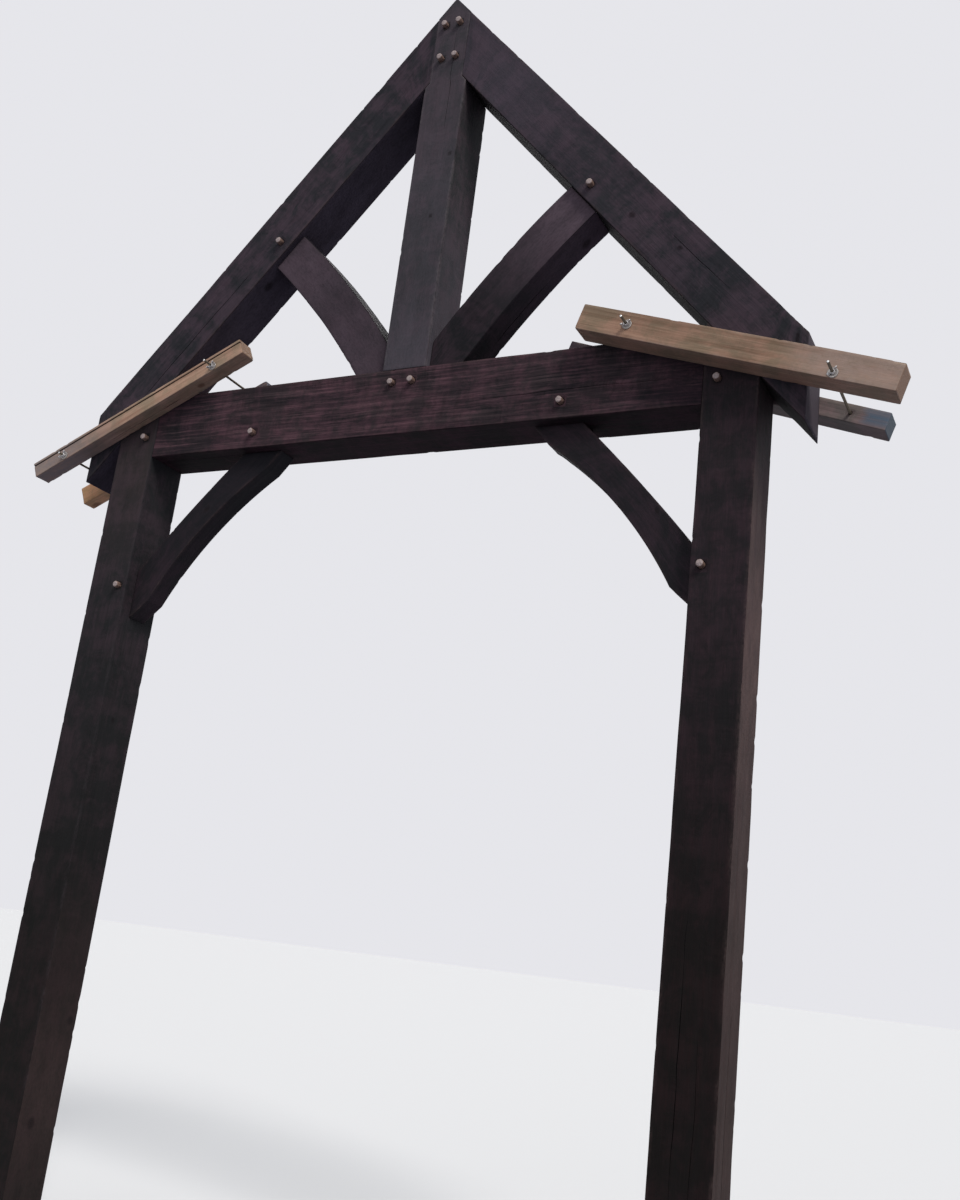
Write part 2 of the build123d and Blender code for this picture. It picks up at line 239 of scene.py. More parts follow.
# Squared sticks, whose faces are 0 in front, 1 on the far side across, 2 behind and 3 opposite 1
Crack = namedtuple("Crack", "face middle first last half deep seed")
Knot = namedtuple("Knot", "face fraction along radius")
Groove = namedtuple("Groove", "middle half deep")
CRACK_WALL, GROOVE_WALL = 0.25, 0.9  # how wide a cut's floor is, as a share of the cut
LIP = 0.0008  # how far outside a cut's edge the face keeps a line of points
NEXT_CUT = 0.12  # the least part of a face between two cuts
END_ROWS = (0.0015, 0.004)  # how near an end its two extra rows are
END_WEAR = 0.0010  # how much is lost at an end's edges
MARK_ROWS = 0.0015  # how near a mark its rows are
FACE_WAVES = ((0.0007, 0.31, 0.07), (0.0003, 0.05, 0.028))  # half the depth, length and width of each kind
BRUISES = (0.006, 0.09, 0.06)  # depth, length and width
ARRIS_WEAR = (0.0006, 0.0014, 0.0020)  # all along, in slow waves and in bites
ARRIS_REACH = 0.0055  # how far onto the faces the wear of an arris runs
BORE_CLEAR = 0.006  # how far from a bore the face is opened
# A bore's mouth, ring by ring: how much wider than the bore, how far under the face, and how dark, as
# painted shade going down into the hole
BORE_RINGS = ((0.0016, 0.0012, 0.25), (0.0, 0.0026, 0.7), (0.0, 0.03, 1.0))
CAP_RINGS = 7


class Stick:
    """A stick's own choices: its size, its wear, and where it has cracks, knots, bores and another tone.

    marks are places along it where a row of points is needed. Its entries of another tone hold faces,
    places along the stick, and how far those faces have gone over to the other tone at each of the places.
    On some sticks that tone is weathering, on others painted shade, and on the left rafter painted light.
    """

    def __init__(self, length, width, depth, seed, cracks, knots, arris=0.004, step=0.010, rough=1.0):
        self.length, self.width, self.depth = length, width, depth
        self.seed, self.arris, self.step, self.rough = seed, arris, step, rough
        self.marks, self.bores, self.bore_radius = (), (), PEG_RADIUS + PEG_CLEARANCE
        self.groove, self.toned = None, []
        draw = np.random.default_rng(seed)
        self.cracks = []
        for _ in range(cracks):
            first = draw.uniform(-0.05, 0.75) * length
            last = first + draw.uniform(0.18, 0.5) * min(length, 1.8)
            self.cracks.append(Crack(
                int(draw.integers(4)), draw.uniform(0.3, 0.7), first, min(last, length + 0.1),
                draw.uniform(0.0008, 0.0022), draw.uniform(0.004, 0.010), draw.uniform(0, 90)))
        self.knots = [
            Knot(int(draw.integers(4)), draw.uniform(0.15, 0.85), draw.uniform(0.03, 0.97) * length,
                 draw.uniform(0.007, 0.019))
            for _ in range(knots)]

    def run(self, face):
        """Length of a face's flat part, between its two arrises."""
        return (self.width if face in (0, 2) else self.depth) - 2 * self.arris


def split_faces(stick):
    """The cuts in each face as (middle, half width, steepness), and the cracks that are kept.

    A cut that lies too near the one before it is left out.
    """
    splits = {face: [] for face in range(4)}
    if stick.groove:
        splits[0].append((stick.groove.middle, stick.groove.half, GROOVE_WALL))
    for crack in stick.cracks:
        splits[crack.face].append((crack.middle, crack.half, CRACK_WALL))
    for face, found in splits.items():
        kept = []
        for one in sorted(found):
            if not kept or one[0] - kept[-1][0] > NEXT_CUT:
                kept.append(one)
        splits[face] = kept
    cracks = [one for one in stick.cracks if (one.middle, one.half, CRACK_WALL) in splits[one.face]]
    return splits, cracks


def section(stick, splits):
    """Outline of a stick: four flat runs joined by quarter circles of the arris radius.

    Gives for each point its place across and through, its outward normal, its face number or -1 on an
    arris, its fraction along that face, the nearest arris, and its distance from it. Each cut has points of
    its own at its lips, down its walls and at its bottom.
    """
    half_w, half_d = stick.width / 2 - stick.arris, stick.depth / 2 - stick.arris
    corners = [(half_w, -half_d), (half_w, half_d), (-half_w, half_d), (-half_w, -half_d)]
    normals = [(0, -1), (1, 0), (0, 1), (-1, 0)]
    columns = []
    for face in range(4):
        start, end = np.array(corners[face - 1]), np.array(corners[face])
        run = float(np.abs(end - start).sum())
        fractions = np.linspace(0, 1, max(2, round(run / stick.step)) + 1)
        for middle, half, wall in splits[face]:
            near = np.abs(fractions - middle) * run < 1.3 * half + 2 * LIP - 0.0001
            near[[0, -1]] = False
            offsets = np.array([-half - LIP, -half, -wall * half, 0, wall * half, half, half + LIP])
            fractions = np.sort(np.concatenate([fractions[~near], middle + offsets / run]))
        normal = np.array(normals[face])
        for fraction in fractions:
            place = start + (end - start) * fraction + normal * stick.arris
            nearest = (face - 1) % 4 if fraction < 0.5 else face
            distance = min(fraction, 1 - fraction) * run
            columns.append((*place, *normal, face, fraction, nearest, distance))
        for turn in (0.25, 0.5, 0.75):
            angle = math.radians(90 * (face - 1 + turn))
            normal = np.array((math.cos(angle), math.sin(angle)))
            columns.append((*(end + normal * stick.arris), *normal, -1, 0, face, 0.0))
    return np.array(columns).T


def stick_rows(stick):
    """Even steps from end to end, with two rows close to each end and to each mark."""
    length, step = stick.length, stick.step
    rows = np.linspace(0, length, max(4, round(length / step)) + 1)
    extra = [*END_ROWS, *(length - row for row in END_ROWS)]
    for mark in stick.marks:
        rows = rows[np.abs(rows - mark) > 0.4 * step]
        extra += [mark - MARK_ROWS, mark, mark + MARK_ROWS]
    return np.unique(np.concatenate([rows, extra]))


def wear_of(stick, along, arris_number):
    """How much an arris has lost: a little all along, more in slow waves, and bites where noise peaks."""
    slow = np.clip(noise(along / 0.22, arris_number * 7.0, stick.seed + 3), 0, 1) ** 2
    bites = np.clip(noise(along / 0.035, arris_number * 5.0, stick.seed + 4) - 0.72, 0, 1) * 9
    even, more, most = ARRIS_WEAR
    return stick.rough * (even + more * slow + most * np.clip(bites, 0, 1))


def relief_of(stick, along, loop):
    """Depth cut from each point: slow and quick waves on the faces, and the wear of the nearest arris."""
    across, through, _, _, face, _, nearest, distance = loop
    x = along[:, None]
    side = np.where((face == 0) | (face == 2), across, through)[None, :]
    number = face[None, :] * 13.0
    window = np.clip(distance / 0.02, 0, 1)[None, :]
    waves = sum(deep * (1 + noise(x / long, side / wide + number, stick.seed + k))
                for k, (deep, long, wide) in enumerate(FACE_WAVES))
    deep, long, wide = BRUISES
    bruises = deep * np.clip(noise(x / long, side / wide + number, stick.seed + 2) - 0.8, 0, 1)
    worn = wear_of(stick, x, nearest[None, :]) * np.exp(-((distance / ARRIS_REACH) ** 2))[None, :]
    return stick.rough * window * (waves + bruises) + worn


def cracks_of(stick, along, loop, cracks):
    """Depth cut, shift along the face, and darkness painted as shade, that a groove and drying cracks give
    each point.

    A crack is open by a half sine between its ends, roughened by noise. It wanders with the points of its
    face, by a shift that falls evenly from the crack to the arrises and to the face's other cracks.
    """
    face, fraction = loop[4], loop[5]
    cut, shift, opened = np.zeros((3, len(along), len(face)))
    if stick.groove:
        middle, half, deep = stick.groove
        sunk = (face == 0) & (np.abs(fraction - middle) * stick.run(0) < 0.95 * half)
        cut += deep * sunk[None, :]
        # Painted shade: the groove's floor is darkened.
        opened += 0.65 * sunk[None, :]
    for crack in cracks:
        on_face, away = face == crack.face, fraction - crack.middle
        hat = np.where(on_face, np.minimum(fraction / crack.middle, (1 - fraction) / (1 - crack.middle)), 0)
        for other in cracks:
            gap = other.middle - crack.middle
            if other.face == crack.face and gap != 0:
                hat = np.where(away * gap > 0, hat * np.clip(1 - np.abs(away / gap), 0, 1), hat)
        wander = 0.007 * noise(along / 0.4, 0, crack.seed) + 0.0015 * noise(along / 0.06, 0, crack.seed + 1)
        shift += wander[:, None] * np.clip(hat, 0, 1)[None, :]
        inside = np.clip((along - crack.first) / (crack.last - crack.first), 0, 1)
        uneven = np.clip(0.75 + 0.6 * noise(along / 0.07, 0, crack.seed), 0, 1)
        depth = (np.sin(math.pi * inside) ** 0.6 * uneven)[:, None]
        offset = np.abs(away) * stick.run(crack.face) / crack.half
        floor = np.where(on_face & (offset < 0.5), np.where(offset < 0.1, 1.0, 0.75), 0)
        cut += crack.deep * depth * floor[None, :]
        # Painted shade: the crack's floor and walls are darkened as far as it is open.
        lips = np.where(on_face & (offset < 1.01), np.where(offset < 0.5, 1.0, 0.15), 0)
        opened = np.maximum(opened, np.clip(depth * 1.6, 0, 1) * lips[None, :])
    return cut, shift, opened


def knots_of(stick, x, across, through, face):
    """Grain lines parted round each knot, and how near each point is to a knot's heart.

    The distance from a knot counts lengthways at half weight. The grain's place across is drawn in towards
    the knot by the distance's bell curve, so that even lines of grain bow round it.
    """
    grain_a = np.broadcast_to(across[None, :], x.shape).copy()
    grain_b = np.broadcast_to(through[None, :], x.shape).copy()
    near = np.zeros(x.shape)
    for knot in stick.knots:
        flat = knot.face in (0, 2)
        on_face = face[None, :] == knot.face
        centre = (knot.fraction - 0.5) * (stick.width if flat else stick.depth)
        offset = (across if flat else through)[None, :] - centre
        reach = (((x - knot.along) / 1.9) ** 2 + offset ** 2) / (2.2 * knot.radius) ** 2
        moved = -0.75 * offset * np.exp(-reach) * on_face
        if flat:
            grain_a += moved
        else:
            grain_b += moved
        tight = (((x - knot.along) / 1.25) ** 2 + offset ** 2) / knot.radius ** 2
        near = np.maximum(near, np.exp(-tight * 0.9) * on_face)
    return grain_a, grain_b, near


def toned_of(stick, x, fraction, face):
    """How far each point has gone over to its other tone, painted shading on some sticks: its entries'
    levels, made ragged by noise.
    """
    ragged = 0.95 + 0.35 * noise(x / 0.45, 0, stick.seed + 20)
    ragged = np.clip(ragged + 0.2 * noise(x / 0.08, fraction[None, :] * 6, stick.seed + 21), 0, 1.2)
    level = np.zeros(x.shape)
    for faces, places, levels in stick.toned:
        level = np.maximum(level, np.interp(x, places, levels) * np.isin(face, faces)[None, :])
    return level * ragged


def rubbed_of(stick, x, nearest, distance):
    """How rubbed each point is: a bell curve of its distance from the arris, times noise."""
    bell = np.exp(-((distance[None, :] / 0.006) ** 2))
    return np.clip(bell * (0.6 + 0.8 * noise(x / 0.05, nearest[None, :] * 9, stick.seed + 8)), 0, 1)


def build_stick(name, place, stick, material, node):
    """Carry the section along the stick's line, with its cracks, knots, bores and closed ends.

    place takes metres along, across and through, and gives points in the model's frame.
    """
    splits, cracks = split_faces(stick)
    loop = section(stick, splits)
    across, through, normal_a, normal_b, face, fraction, nearest, distance = loop
    along = stick_rows(stick)
    relief = relief_of(stick, along, loop)
    cut, shift, opened = cracks_of(stick, along, loop, cracks)
    ends = np.minimum(along, stick.length - along)[:, None]
    cut += relief + END_WEAR * np.clip(1 - ends / END_ROWS[1], 0, 1)
    way_a = np.select([face == 0, face == 2], [1, -1], 0)
    way_b = np.select([face == 1, face == 3], [1, -1], 0)
    a = across[None, :] + shift * way_a[None, :] - cut * normal_a[None, :]
    b = through[None, :] + shift * way_b[None, :] - cut * normal_b[None, :]
    x = np.broadcast_to(along[:, None], a.shape)
    grain_a, grain_b, knot = knots_of(stick, x, across, through, face)
    surface = Surface("grain", "knot", "crack", "wear", "cut_end", "toned")
    surface.add(
        place(x, a, b).reshape(-1, 3), grid_quads(*a.shape),
        grain=np.stack([x, grain_a, grain_b], -1).reshape(-1, 3),
        knot=knot.reshape(-1),
        crack=opened.reshape(-1),
        wear=rubbed_of(stick, x, nearest, distance).reshape(-1),
        cut_end=np.broadcast_to(np.clip(1 - ends / END_ROWS[0], 0, 1), a.shape).reshape(-1),
        toned=toned_of(stick, x, fraction, face).reshape(-1))
    holes = []
    for target in stick.bores:
        centre = found_on(place, stick, target)
        for side in (0, 2):
            holes.extend(cut_bore(surface, place, stick, along, loop, centre, side))
    surface.quads[0] = np.delete(surface.quads[0], np.array(holes, int), axis=0)
    for end in (0, len(along) - 1):
        close_end(surface, place, end, along, a, b)
    start = np.array((GRAIN_STEP * stick.seed, 0, 0))
    surface.values["grain"] = [grain + start for grain in surface.values["grain"]]
    return make_piece(name, surface, material, node)


def found_on(place, stick, target):
    """Metres along and across at which a stick reaches an X and Z: Newton steps from a grid's nearest."""
    tiny, zero = 1e-5, np.zeros(1)
    rows, columns = np.linspace(0, stick.length, 400), np.linspace(-0.5, 0.5, 21) * stick.width
    x, a = (numbers.reshape(-1) for numbers in np.meshgrid(rows, columns, indexing="ij"))
    best = np.argmin(((place(x, a, 0 * a)[:, [0, 2]] - target) ** 2).sum(1))
    guess = np.array([x[best], a[best]])
    for _ in range(6):
        here = place(guess[:1], guess[1:], zero)[0, [0, 2]]
        slopes = np.stack([(place(guess[:1] + dx, guess[1:] + da, zero)[0, [0, 2]] - here) / tiny
                           for dx, da in ((tiny, 0), (0, tiny))], -1)
        guess = guess + np.linalg.solve(slopes, target - here)
    return guess


def cut_bore(surface, place, stick, along, loop, centre, side):
    """Open a face round a bore, and join three rings to the hole: a bruised lip, the mouth and the far end.

    Each ring is a circle in the plane of the bent, with one point at the angle of each point of the hole's
    edge. Gives the numbers of the quads that fall away, which are those that come near the bore.
    """
    across, face = loop[0], loop[4]
    columns, clear = len(across), stick.bore_radius + BORE_CLEAR
    first = np.searchsorted(along, centre[0] - clear) - 1
    last = np.searchsorted(along, centre[0] + clear)
    if first < 1 or last > len(along) - 2:
        return []
    inside = np.where((face == side) & (np.abs(across - centre[1]) < clear))[0]
    left, right = inside.min() - 1, inside.max() + 1
    edge = [(first, k) for k in range(left, right)] + [(k, right) for k in range(first, last)]
    edge += [(last, k) for k in range(right, left, -1)] + [(k, left) for k in range(last, first, -1)]
    edge = np.array(edge) @ (columns, 1)
    surface_y, inward = (FRONT, 1) if side == 0 else (BACK, -1)
    middle = place(centre[:1], centre[1:], np.array([surface_y * stick.depth / THICKNESS]))[0]
    outward = surface.points[0][edge] - middle
    angle = np.arctan2(outward[:, 2], outward[:, 0])
    rings = []
    for wider, sunk, _ in BORE_RINGS:
        radius = stick.bore_radius + wider
        ring = [radius * np.cos(angle), np.full(len(angle), inward * sunk), radius * np.sin(angle)]
        rings.append(middle + np.stack(ring, -1))
    loops = [edge] + surface.next_loops(len(angle), len(rings))
    # The rings' darkness is painted shade going down into the bore.
    surface.add(np.concatenate(rings), loop_quads(loops),
                grain=np.tile((*centre, 0.3), (len(rings) * len(angle), 1)),
                crack=np.repeat([dark for _, _, dark in BORE_RINGS], len(angle)))
    i, j = np.meshgrid(np.arange(first, last), np.arange(left, right), indexing="ij")
    return (i * columns + j).reshape(-1)


def close_end(surface, place, end, along, a, b):
    """Close an end: its outline shrunk towards the middle in even steps, and a fan to the middle point."""
    scale = 1 - np.arange(1, CAP_RINGS)[:, None] / CAP_RINGS
    inner_a, inner_b = (np.append((scale * line[end]).reshape(-1), 0.0) for line in (a, b))
    x = np.full(len(inner_a), along[end])
    columns = a.shape[1]
    loops = [end * columns + np.arange(columns)] + surface.next_loops(columns, CAP_RINGS - 1)
    quads, triangles = loop_quads(loops), fan(loops[-1], surface.count + len(x) - 1)
    if end == 0:
        quads, triangles = quads[:, ::-1], triangles[:, ::-1]
    surface.add(place(x, inner_a, inner_b), quads, triangles, grain=np.stack([x, inner_a, inner_b], -1),
                cut_end=np.ones(len(x)))


# Lines that the sticks follow
def slanted(x, low, high, length, zone):
    """Metres along, where rows near an end turn evenly from square to that end's own line, low or high."""
    near = low + (zone - low) * np.clip(x / zone, 0, 1)
    far = length - zone + (high - length + zone) * np.clip((x - length + zone) / zone, 0, 1)
    return np.where(x < zone, near, np.where(x > length - zone, far, x))


def straight(origin, along_way, across_way, length, zone, low=None, high=None, side=1, squeeze=None):
    """Places on a straight stick: its origin, plus metres along and across in two ways, and through in Y.

    low and high give each end's line for each place across, and an end without one is square. squeeze gives
    the share of its width that the stick has at each place along.
    """
    def place(x, a, b):
        if squeeze:
            a = a * squeeze(x)
        s = slanted(x, low(a) if low else 0.0, high(a) if high else length, length, zone)
        out = origin[0] + along_way[0] * s + across_way[0] * a
        height = origin[1] + along_way[1] * s + across_way[1] * a
        return on_side(side, out, b, height)
    return place


def make_posts(woods):
    """Upright sticks with their heads cut to the underside of the rafter."""
    length = roof_line(MIDDLE, RAFTER_DEPTH)
    toned = {
        "left": [((3,), (0, 0.5, 1.3), (0.22, 0.25, 0.0)), ((0,), (2.4, 2.85), (0.0, 0.2))],
        "right": [((1,), (0, 0.8, 1.5, 2.1, 2.6, 2.75, 2.9), (0.28, 0.30, 0.38, 1.1, 0.68, 0.2, 0.0))],
    }

    def head(a):
        return roof_line(MIDDLE + a, RAFTER_DEPTH)

    for word, side in SIDES.items():
        node = word + "_post"
        stick = Stick(length, POST_FACE, THICKNESS, SEEDS[node], cracks=3, knots=5)
        stick.bores = peg_targets([side], "tie", "brace_post")
        stick.toned = toned[word]
        place = straight((MIDDLE, 0), (0, 1), (1, 0), length, zone=0.15, high=head, side=side)
        build_stick(node + "_timber", place, stick, woods[node], node)


def make_tie(material):
    """A level stick between the posts, square at both ends."""
    length = 2 * POST_INNER
    stick = Stick(length, TIE_DEPTH, THICKNESS, SEEDS["tie_beam"], cracks=3, knots=4)
    # Painted shadow: the front goes over to a dark tone at both ends, where the battens above shade it.
    stick.toned = [((0,), (0, 0.15, 0.35, 2.15, 2.32, length), (0.3, 0.25, 0.0, 0.0, 0.6, 0.8))]
    stick.bores = peg_targets(SIDES.values(), "king_foot", "brace_tie")
    place = straight((-POST_INNER, SOFFIT + TIE_DEPTH / 2), (1, 0), (0, 1), length, zone=0.15)
    build_stick("tie_beam_timber", place, stick, material, "tie_beam")


def make_king_post(material):
    """An upright stick, narrower above the slanting shoulders where the rafters are housed.

    Its top is the two roof slopes, met at the ridge.
    """
    length = RIDGE - TIE_TOP
    lower, upper = (roof_line(out, RAFTER_DEPTH) - TIE_TOP for out in (KING_HALF, KING_SHOULDER))

    def squeeze(x):
        return 1 - (1 - KING_SHOULDER / KING_HALF) * np.clip((x - lower) / (upper - lower), 0, 1)

    def peak(a):
        return roof_line(a) - TIE_TOP

    stick = Stick(length, KING_FACE, THICKNESS, SEEDS["king_post"], cracks=2, knots=3)
    stick.knots = [Knot(0, 0.86, 0.957, 0.009), Knot(0, 0.60, 0.675, 0.008), stick.knots[0]]
    stick.marks = (lower, upper)
    # On the right side the lighter tone gives out upwards, leaving painted shade at the top under the
    # rafters.
    stick.toned = [((0,), (0, 0.8, 1.2), (0.55, 0.5, 0.3)), ((1,), (0, 0.45, 0.8), (0.9, 0.6, 0.0))]
    stick.bores = peg_targets(SIDES.values(), "rafter_upper", "rafter_lower")
    place = straight((0, TIE_TOP), (0, 1), (1, 0), length, zone=0.102, high=peak, squeeze=squeeze)
    build_stick("king_post_timber", place, stick, material, "king_post")


def make_rafters(material):
    """Sticks down the roof slope, cut plumb at the housing in the king post and at the tail."""
    down, up = (math.cos(PITCH), -math.sin(PITCH)), (math.sin(PITCH), math.cos(PITCH))
    half = RAFTER_DEPTH / 2

    def reach(out, a):
        return (out - (a - half) * up[0]) / down[0]

    lowest = reach(KING_SHOULDER, half)
    length = reach(TAIL_OUT, -half) - lowest
    origin = (down[0] * lowest - half * up[0], RIDGE + down[1] * lowest - half * up[1])

    def low(a):
        return reach(KING_SHOULDER, a) - lowest

    def high(a):
        return reach(TAIL_OUT, a) - lowest

    for word, side in SIDES.items():
        node = word + "_rafter"
        stick = Stick(length, RAFTER_DEPTH, THICKNESS, SEEDS[node], cracks=2, knots=5)
        if word == "left":
            # Painted light: the left rafter's underside goes most of the way over to the lighter tone.
            stick.toned = [((3,), (0,), (0.85,))]
        else:
            stick.toned = [((0, 1, 2), (0, 0.6, 1.0, 1.5), (0.45, 0.4, 0.1, 0.0))]
            stick.knots.append(Knot(0, 0.54, 1.645, 0.009))
        stick.bores = peg_targets([side], "strut")
        place = straight(origin, down, up, length, zone=0.40, low=low, high=high, side=side)
        build_stick(node + "_timber", place, stick, material, node)


def strut_circle():
    """The middle of the circle that a strut's middle line follows, and the line's head.

    From the middle of the chord it lies square to it, by the root of radius^2 - (chord / 2)^2.
    """
    foot = np.array((STRUT_FOOT_OUT, TIE_TOP))
    head = np.array((STRUT_HEAD_OUT, roof_line(STRUT_HEAD_OUT, RAFTER_DEPTH)))
    chord = head - foot
    size = np.linalg.norm(chord)
    across = np.array((chord[1], -chord[0])) / size
    return foot + chord / 2 + across * math.sqrt(STRUT_RADIUS ** 2 - size ** 2 / 4), head


def strut_peg_place():
    """On from the strut's head along its middle line, till the peg's lift above the rafter's underside."""
    centre, head = strut_circle()
    along = np.array((head[1] - centre[1], centre[0] - head[0]))
    along = along / np.linalg.norm(along)
    return head + along * STRUT_PEG_LIFT / (along[0] * math.sin(PITCH) + along[1] * math.cos(PITCH))


def make_struts(material):
    """Sticks bent to a circle that bows upwards.

    The foot is cut to the king post's side and the tie beam's top, and the head to the rafter's underside.
    Each cut is the angle at which the circle through that place across meets the line.
    """
    centre, _ = strut_circle()
    reach = RIDGE - RAFTER_DEPTH / math.cos(PITCH)
    fall = reach * math.cos(PITCH) - centre[0] * math.sin(PITCH) - centre[1] * math.cos(PITCH)

    def first_angle(a):
        radius = STRUT_RADIUS + a
        on_tie = math.pi - np.arcsin((TIE_TOP - centre[1]) / radius)
        on_king = np.arccos((KING_HALF - centre[0]) / radius)
        return np.minimum(on_tie, on_king)

    def last_angle(a):
        return math.pi / 2 - PITCH + np.arccos(fall / (STRUT_RADIUS + a))

    every = np.linspace(-STRUT_DEPTH / 2, STRUT_DEPTH / 2, 200)
    begin, finish = float(first_angle(every).max()), float(last_angle(every).min())
    length = (begin - finish) * STRUT_RADIUS
    # Painted shade: the struts keep a darker tone at the foot, near the king post, and go over to a lighter
    # one towards the head.
    levels = {"left": (0.5, 0.6, 0.9), "right": (0.0, 0.0, 0.85)}
    for word, side in SIDES.items():
        def place(x, a, b, side=side):
            low, high = ((begin - cut(a)) * STRUT_RADIUS for cut in (first_angle, last_angle))
            angle = begin - slanted(x, low, high, length, zone=0.28) / STRUT_RADIUS
            out = centre[0] + (STRUT_RADIUS + a) * np.cos(angle)
            height = centre[1] + (STRUT_RADIUS + a) * np.sin(angle)
            return on_side(side, out, b, height)

        node = word + "_strut"
        stick = Stick(length, STRUT_DEPTH, STRUT_THICKNESS, SEEDS[node], cracks=1, knots=2)
        stick.toned = [((0, 2, 3), (0, 0.35 * length, length), levels[word])]
        build_stick(node + "_timber", place, stick, material, node)


def arc_points(start, end, rise, count):
    """Points on the circle through two ends that rises so far from their chord's middle, to its left."""
    start, end = np.array(start), np.array(end)
    chord = end - start
    size = np.linalg.norm(chord)
    left = np.array((-chord[1], chord[0])) / size
    radius = (size ** 2 / 4 + rise ** 2) / (2 * rise)
    centre = start + chord / 2 + left * (rise - radius)
    t = np.linspace(-1, 1, count) * math.asin(size / 2 / abs(radius))
    return centre + radius * (np.outer(np.cos(t), left) + np.outer(np.sin(t), chord / size))


def make_braces(material):
    """Sticks between an arched lower edge with a nose at both ends, and a slightly crowned upper edge.

    A point is mixed from the two edges by its place across. Each edge is followed by its own length.
    """
    upper = arc_points((POST_INNER - BRACE_RUN, SOFFIT), (POST_INNER, SOFFIT - BRACE_DROP), BRACE_CROWN, 60)
    far, low = POST_INNER - BRACE_FAR, SOFFIT - BRACE_LOW
    nose_head = (far + BRACE_TIE_NOSE[0], SOFFIT - BRACE_TIE_NOSE[1])
    nose_foot = (POST_INNER - BRACE_POST_NOSE[0], low + BRACE_POST_NOSE[1])
    arch = arc_points(nose_head, nose_foot, BRACE_ARCH, 90)
    lower = np.concatenate([[(far, SOFFIT)], arch, [(POST_INNER, low)]])

    def gone(edge):
        steps = np.linalg.norm(np.diff(edge, axis=0), axis=1)
        return np.concatenate([[0], np.cumsum(steps)]) / steps.sum()

    def follow(edge, t):
        return np.stack([np.interp(t, gone(edge), edge[:, k]) for k in (0, 1)])

    for word, side in SIDES.items():
        def place(x, a, b, side=side):
            t = np.clip(x / BRACE_LENGTH, 0, 1)
            mix = a / BRACE_DEPTH + 0.5
            out, height = follow(lower, t) * (1 - mix) + follow(upper, t) * mix
            return on_side(side, out, b, height)

        node = word + "_brace"
        stick = Stick(BRACE_LENGTH, BRACE_DEPTH, BRACE_THICKNESS, SEEDS[node], cracks=1, knots=2,
                      step=0.008)
        stick.marks = tuple(gone(lower)[[1, -2]] * BRACE_LENGTH)
        if word == "left":
            # Painted shade: the left brace goes over to a dark tone at its top, under the tie.
            stick.toned = [((0, 1, 2, 3), (0, 0.35, 0.75), (0.9, 0.6, 0.0))]
        build_stick(node + "_timber", place, stick, material, node)


# Turned and riven pieces: a radius over angle and length along Y
def turns(count):
    """So many angles, spread evenly round a circle."""
    return np.linspace(0, 2 * math.pi, count, endpoint=False)


def turned(name, centre, lengths, radii, material, node, slot, **values):
    """A closed shape along Y: each row is a ring of radii, and a middle point closes each end."""
    rows, columns = radii.shape
    angle = turns(columns)[None, :]
    y = np.broadcast_to(lengths, radii.shape)
    rings = np.stack([centre[0] + radii * np.cos(angle), y, centre[1] + radii * np.sin(angle)], -1)
    ends = [(centre[0], y[k].mean(), centre[1]) for k in (0, -1)]
    points = np.concatenate([rings.reshape(-1, 3), ends])
    filled = {label: np.append(numbers.reshape(-1), [numbers[0].mean(), numbers[-1].mean()])
              for label, numbers in values.items()}
    surface = Surface(*values)
    surface.add(points, grid_quads(rows, columns), end_fans(0, rows, columns), **filled)
    return make_piece(name, surface, material, node)


def make_peg(name, node, centre, seed, material):
    """A riven peg: a circle shaved by eight flats, and tapered to a blunt point at the back.

    The radius at an angle is the least of the circle's and of each flat's distance over the cosine of the
    angle from it. The front end is domed and bruised by noise.
    """
    draw = np.random.default_rng(seed)
    tip = BACK + PEG_PROUD_BACK * draw.uniform(0.93, 1.0)
    head = FRONT - PEG_PROUD_FRONT * draw.uniform(0.82, 1.0)
    dome = [(head, 0.30), (head + 0.0003, 0.62), (head + 0.0012, 0.86), (head + 0.0028, 0.97)]
    body = [(y, 1.0) for y in np.linspace(head + 0.0045, tip - PEG_TAPER, 26)]
    point = [(tip - PEG_TAPER + 0.038 * t, 1.0 - 0.44 * t ** 1.1) for t in np.linspace(0.1, 1, 9)]
    close = [(tip - 0.0012, 0.50), (tip - 0.0004, 0.40), (tip, 0.22)]
    rings = np.array(dome + body + point + close)
    along, share = rings[:, :1], rings[:, 1:]
    columns = 48
    angle = turns(columns)[None, :]
    radius = np.full((len(rings), columns), 1.0)
    for flat in range(8):
        facing_flat = flat * math.pi / 4 + draw.uniform(-0.2, 0.2)
        away = draw.uniform(0.935, 0.985) + 0.012 * noise(along / 0.03, flat, seed)
        turn = np.cos(angle - facing_flat)
        radius = np.minimum(radius, np.where(turn > 0.3, away / np.maximum(turn, 0.3), 9.0))
    radius *= 1 - 0.008 * (1 + noise(angle * 4, along / 0.006, seed + 5))
    lengths = along + 0.0008 * noise(angle * 1.5, along * 0, seed + 6) * (share < 0.99)
    lengths = np.clip(lengths, FRONT - PEG_PROUD_FRONT, BACK + PEG_PROUD_BACK)
    sunk = np.minimum(along - FRONT, BACK - along)
    # Darker towards the timber's face: stain, and painted shade in the crease where the peg goes in.
    smeared = np.clip(1 + sunk / 0.012, 0, 1) * np.ones(columns)
    sawn = np.clip(8 * np.clip(1 - share / 0.97, 0, 1) * np.ones(columns), 0, 1)
    turned(name, centre, lengths, PEG_RADIUS * share * radius, material, node, "oak_peg",
           smeared=smeared, sawn=sawn)


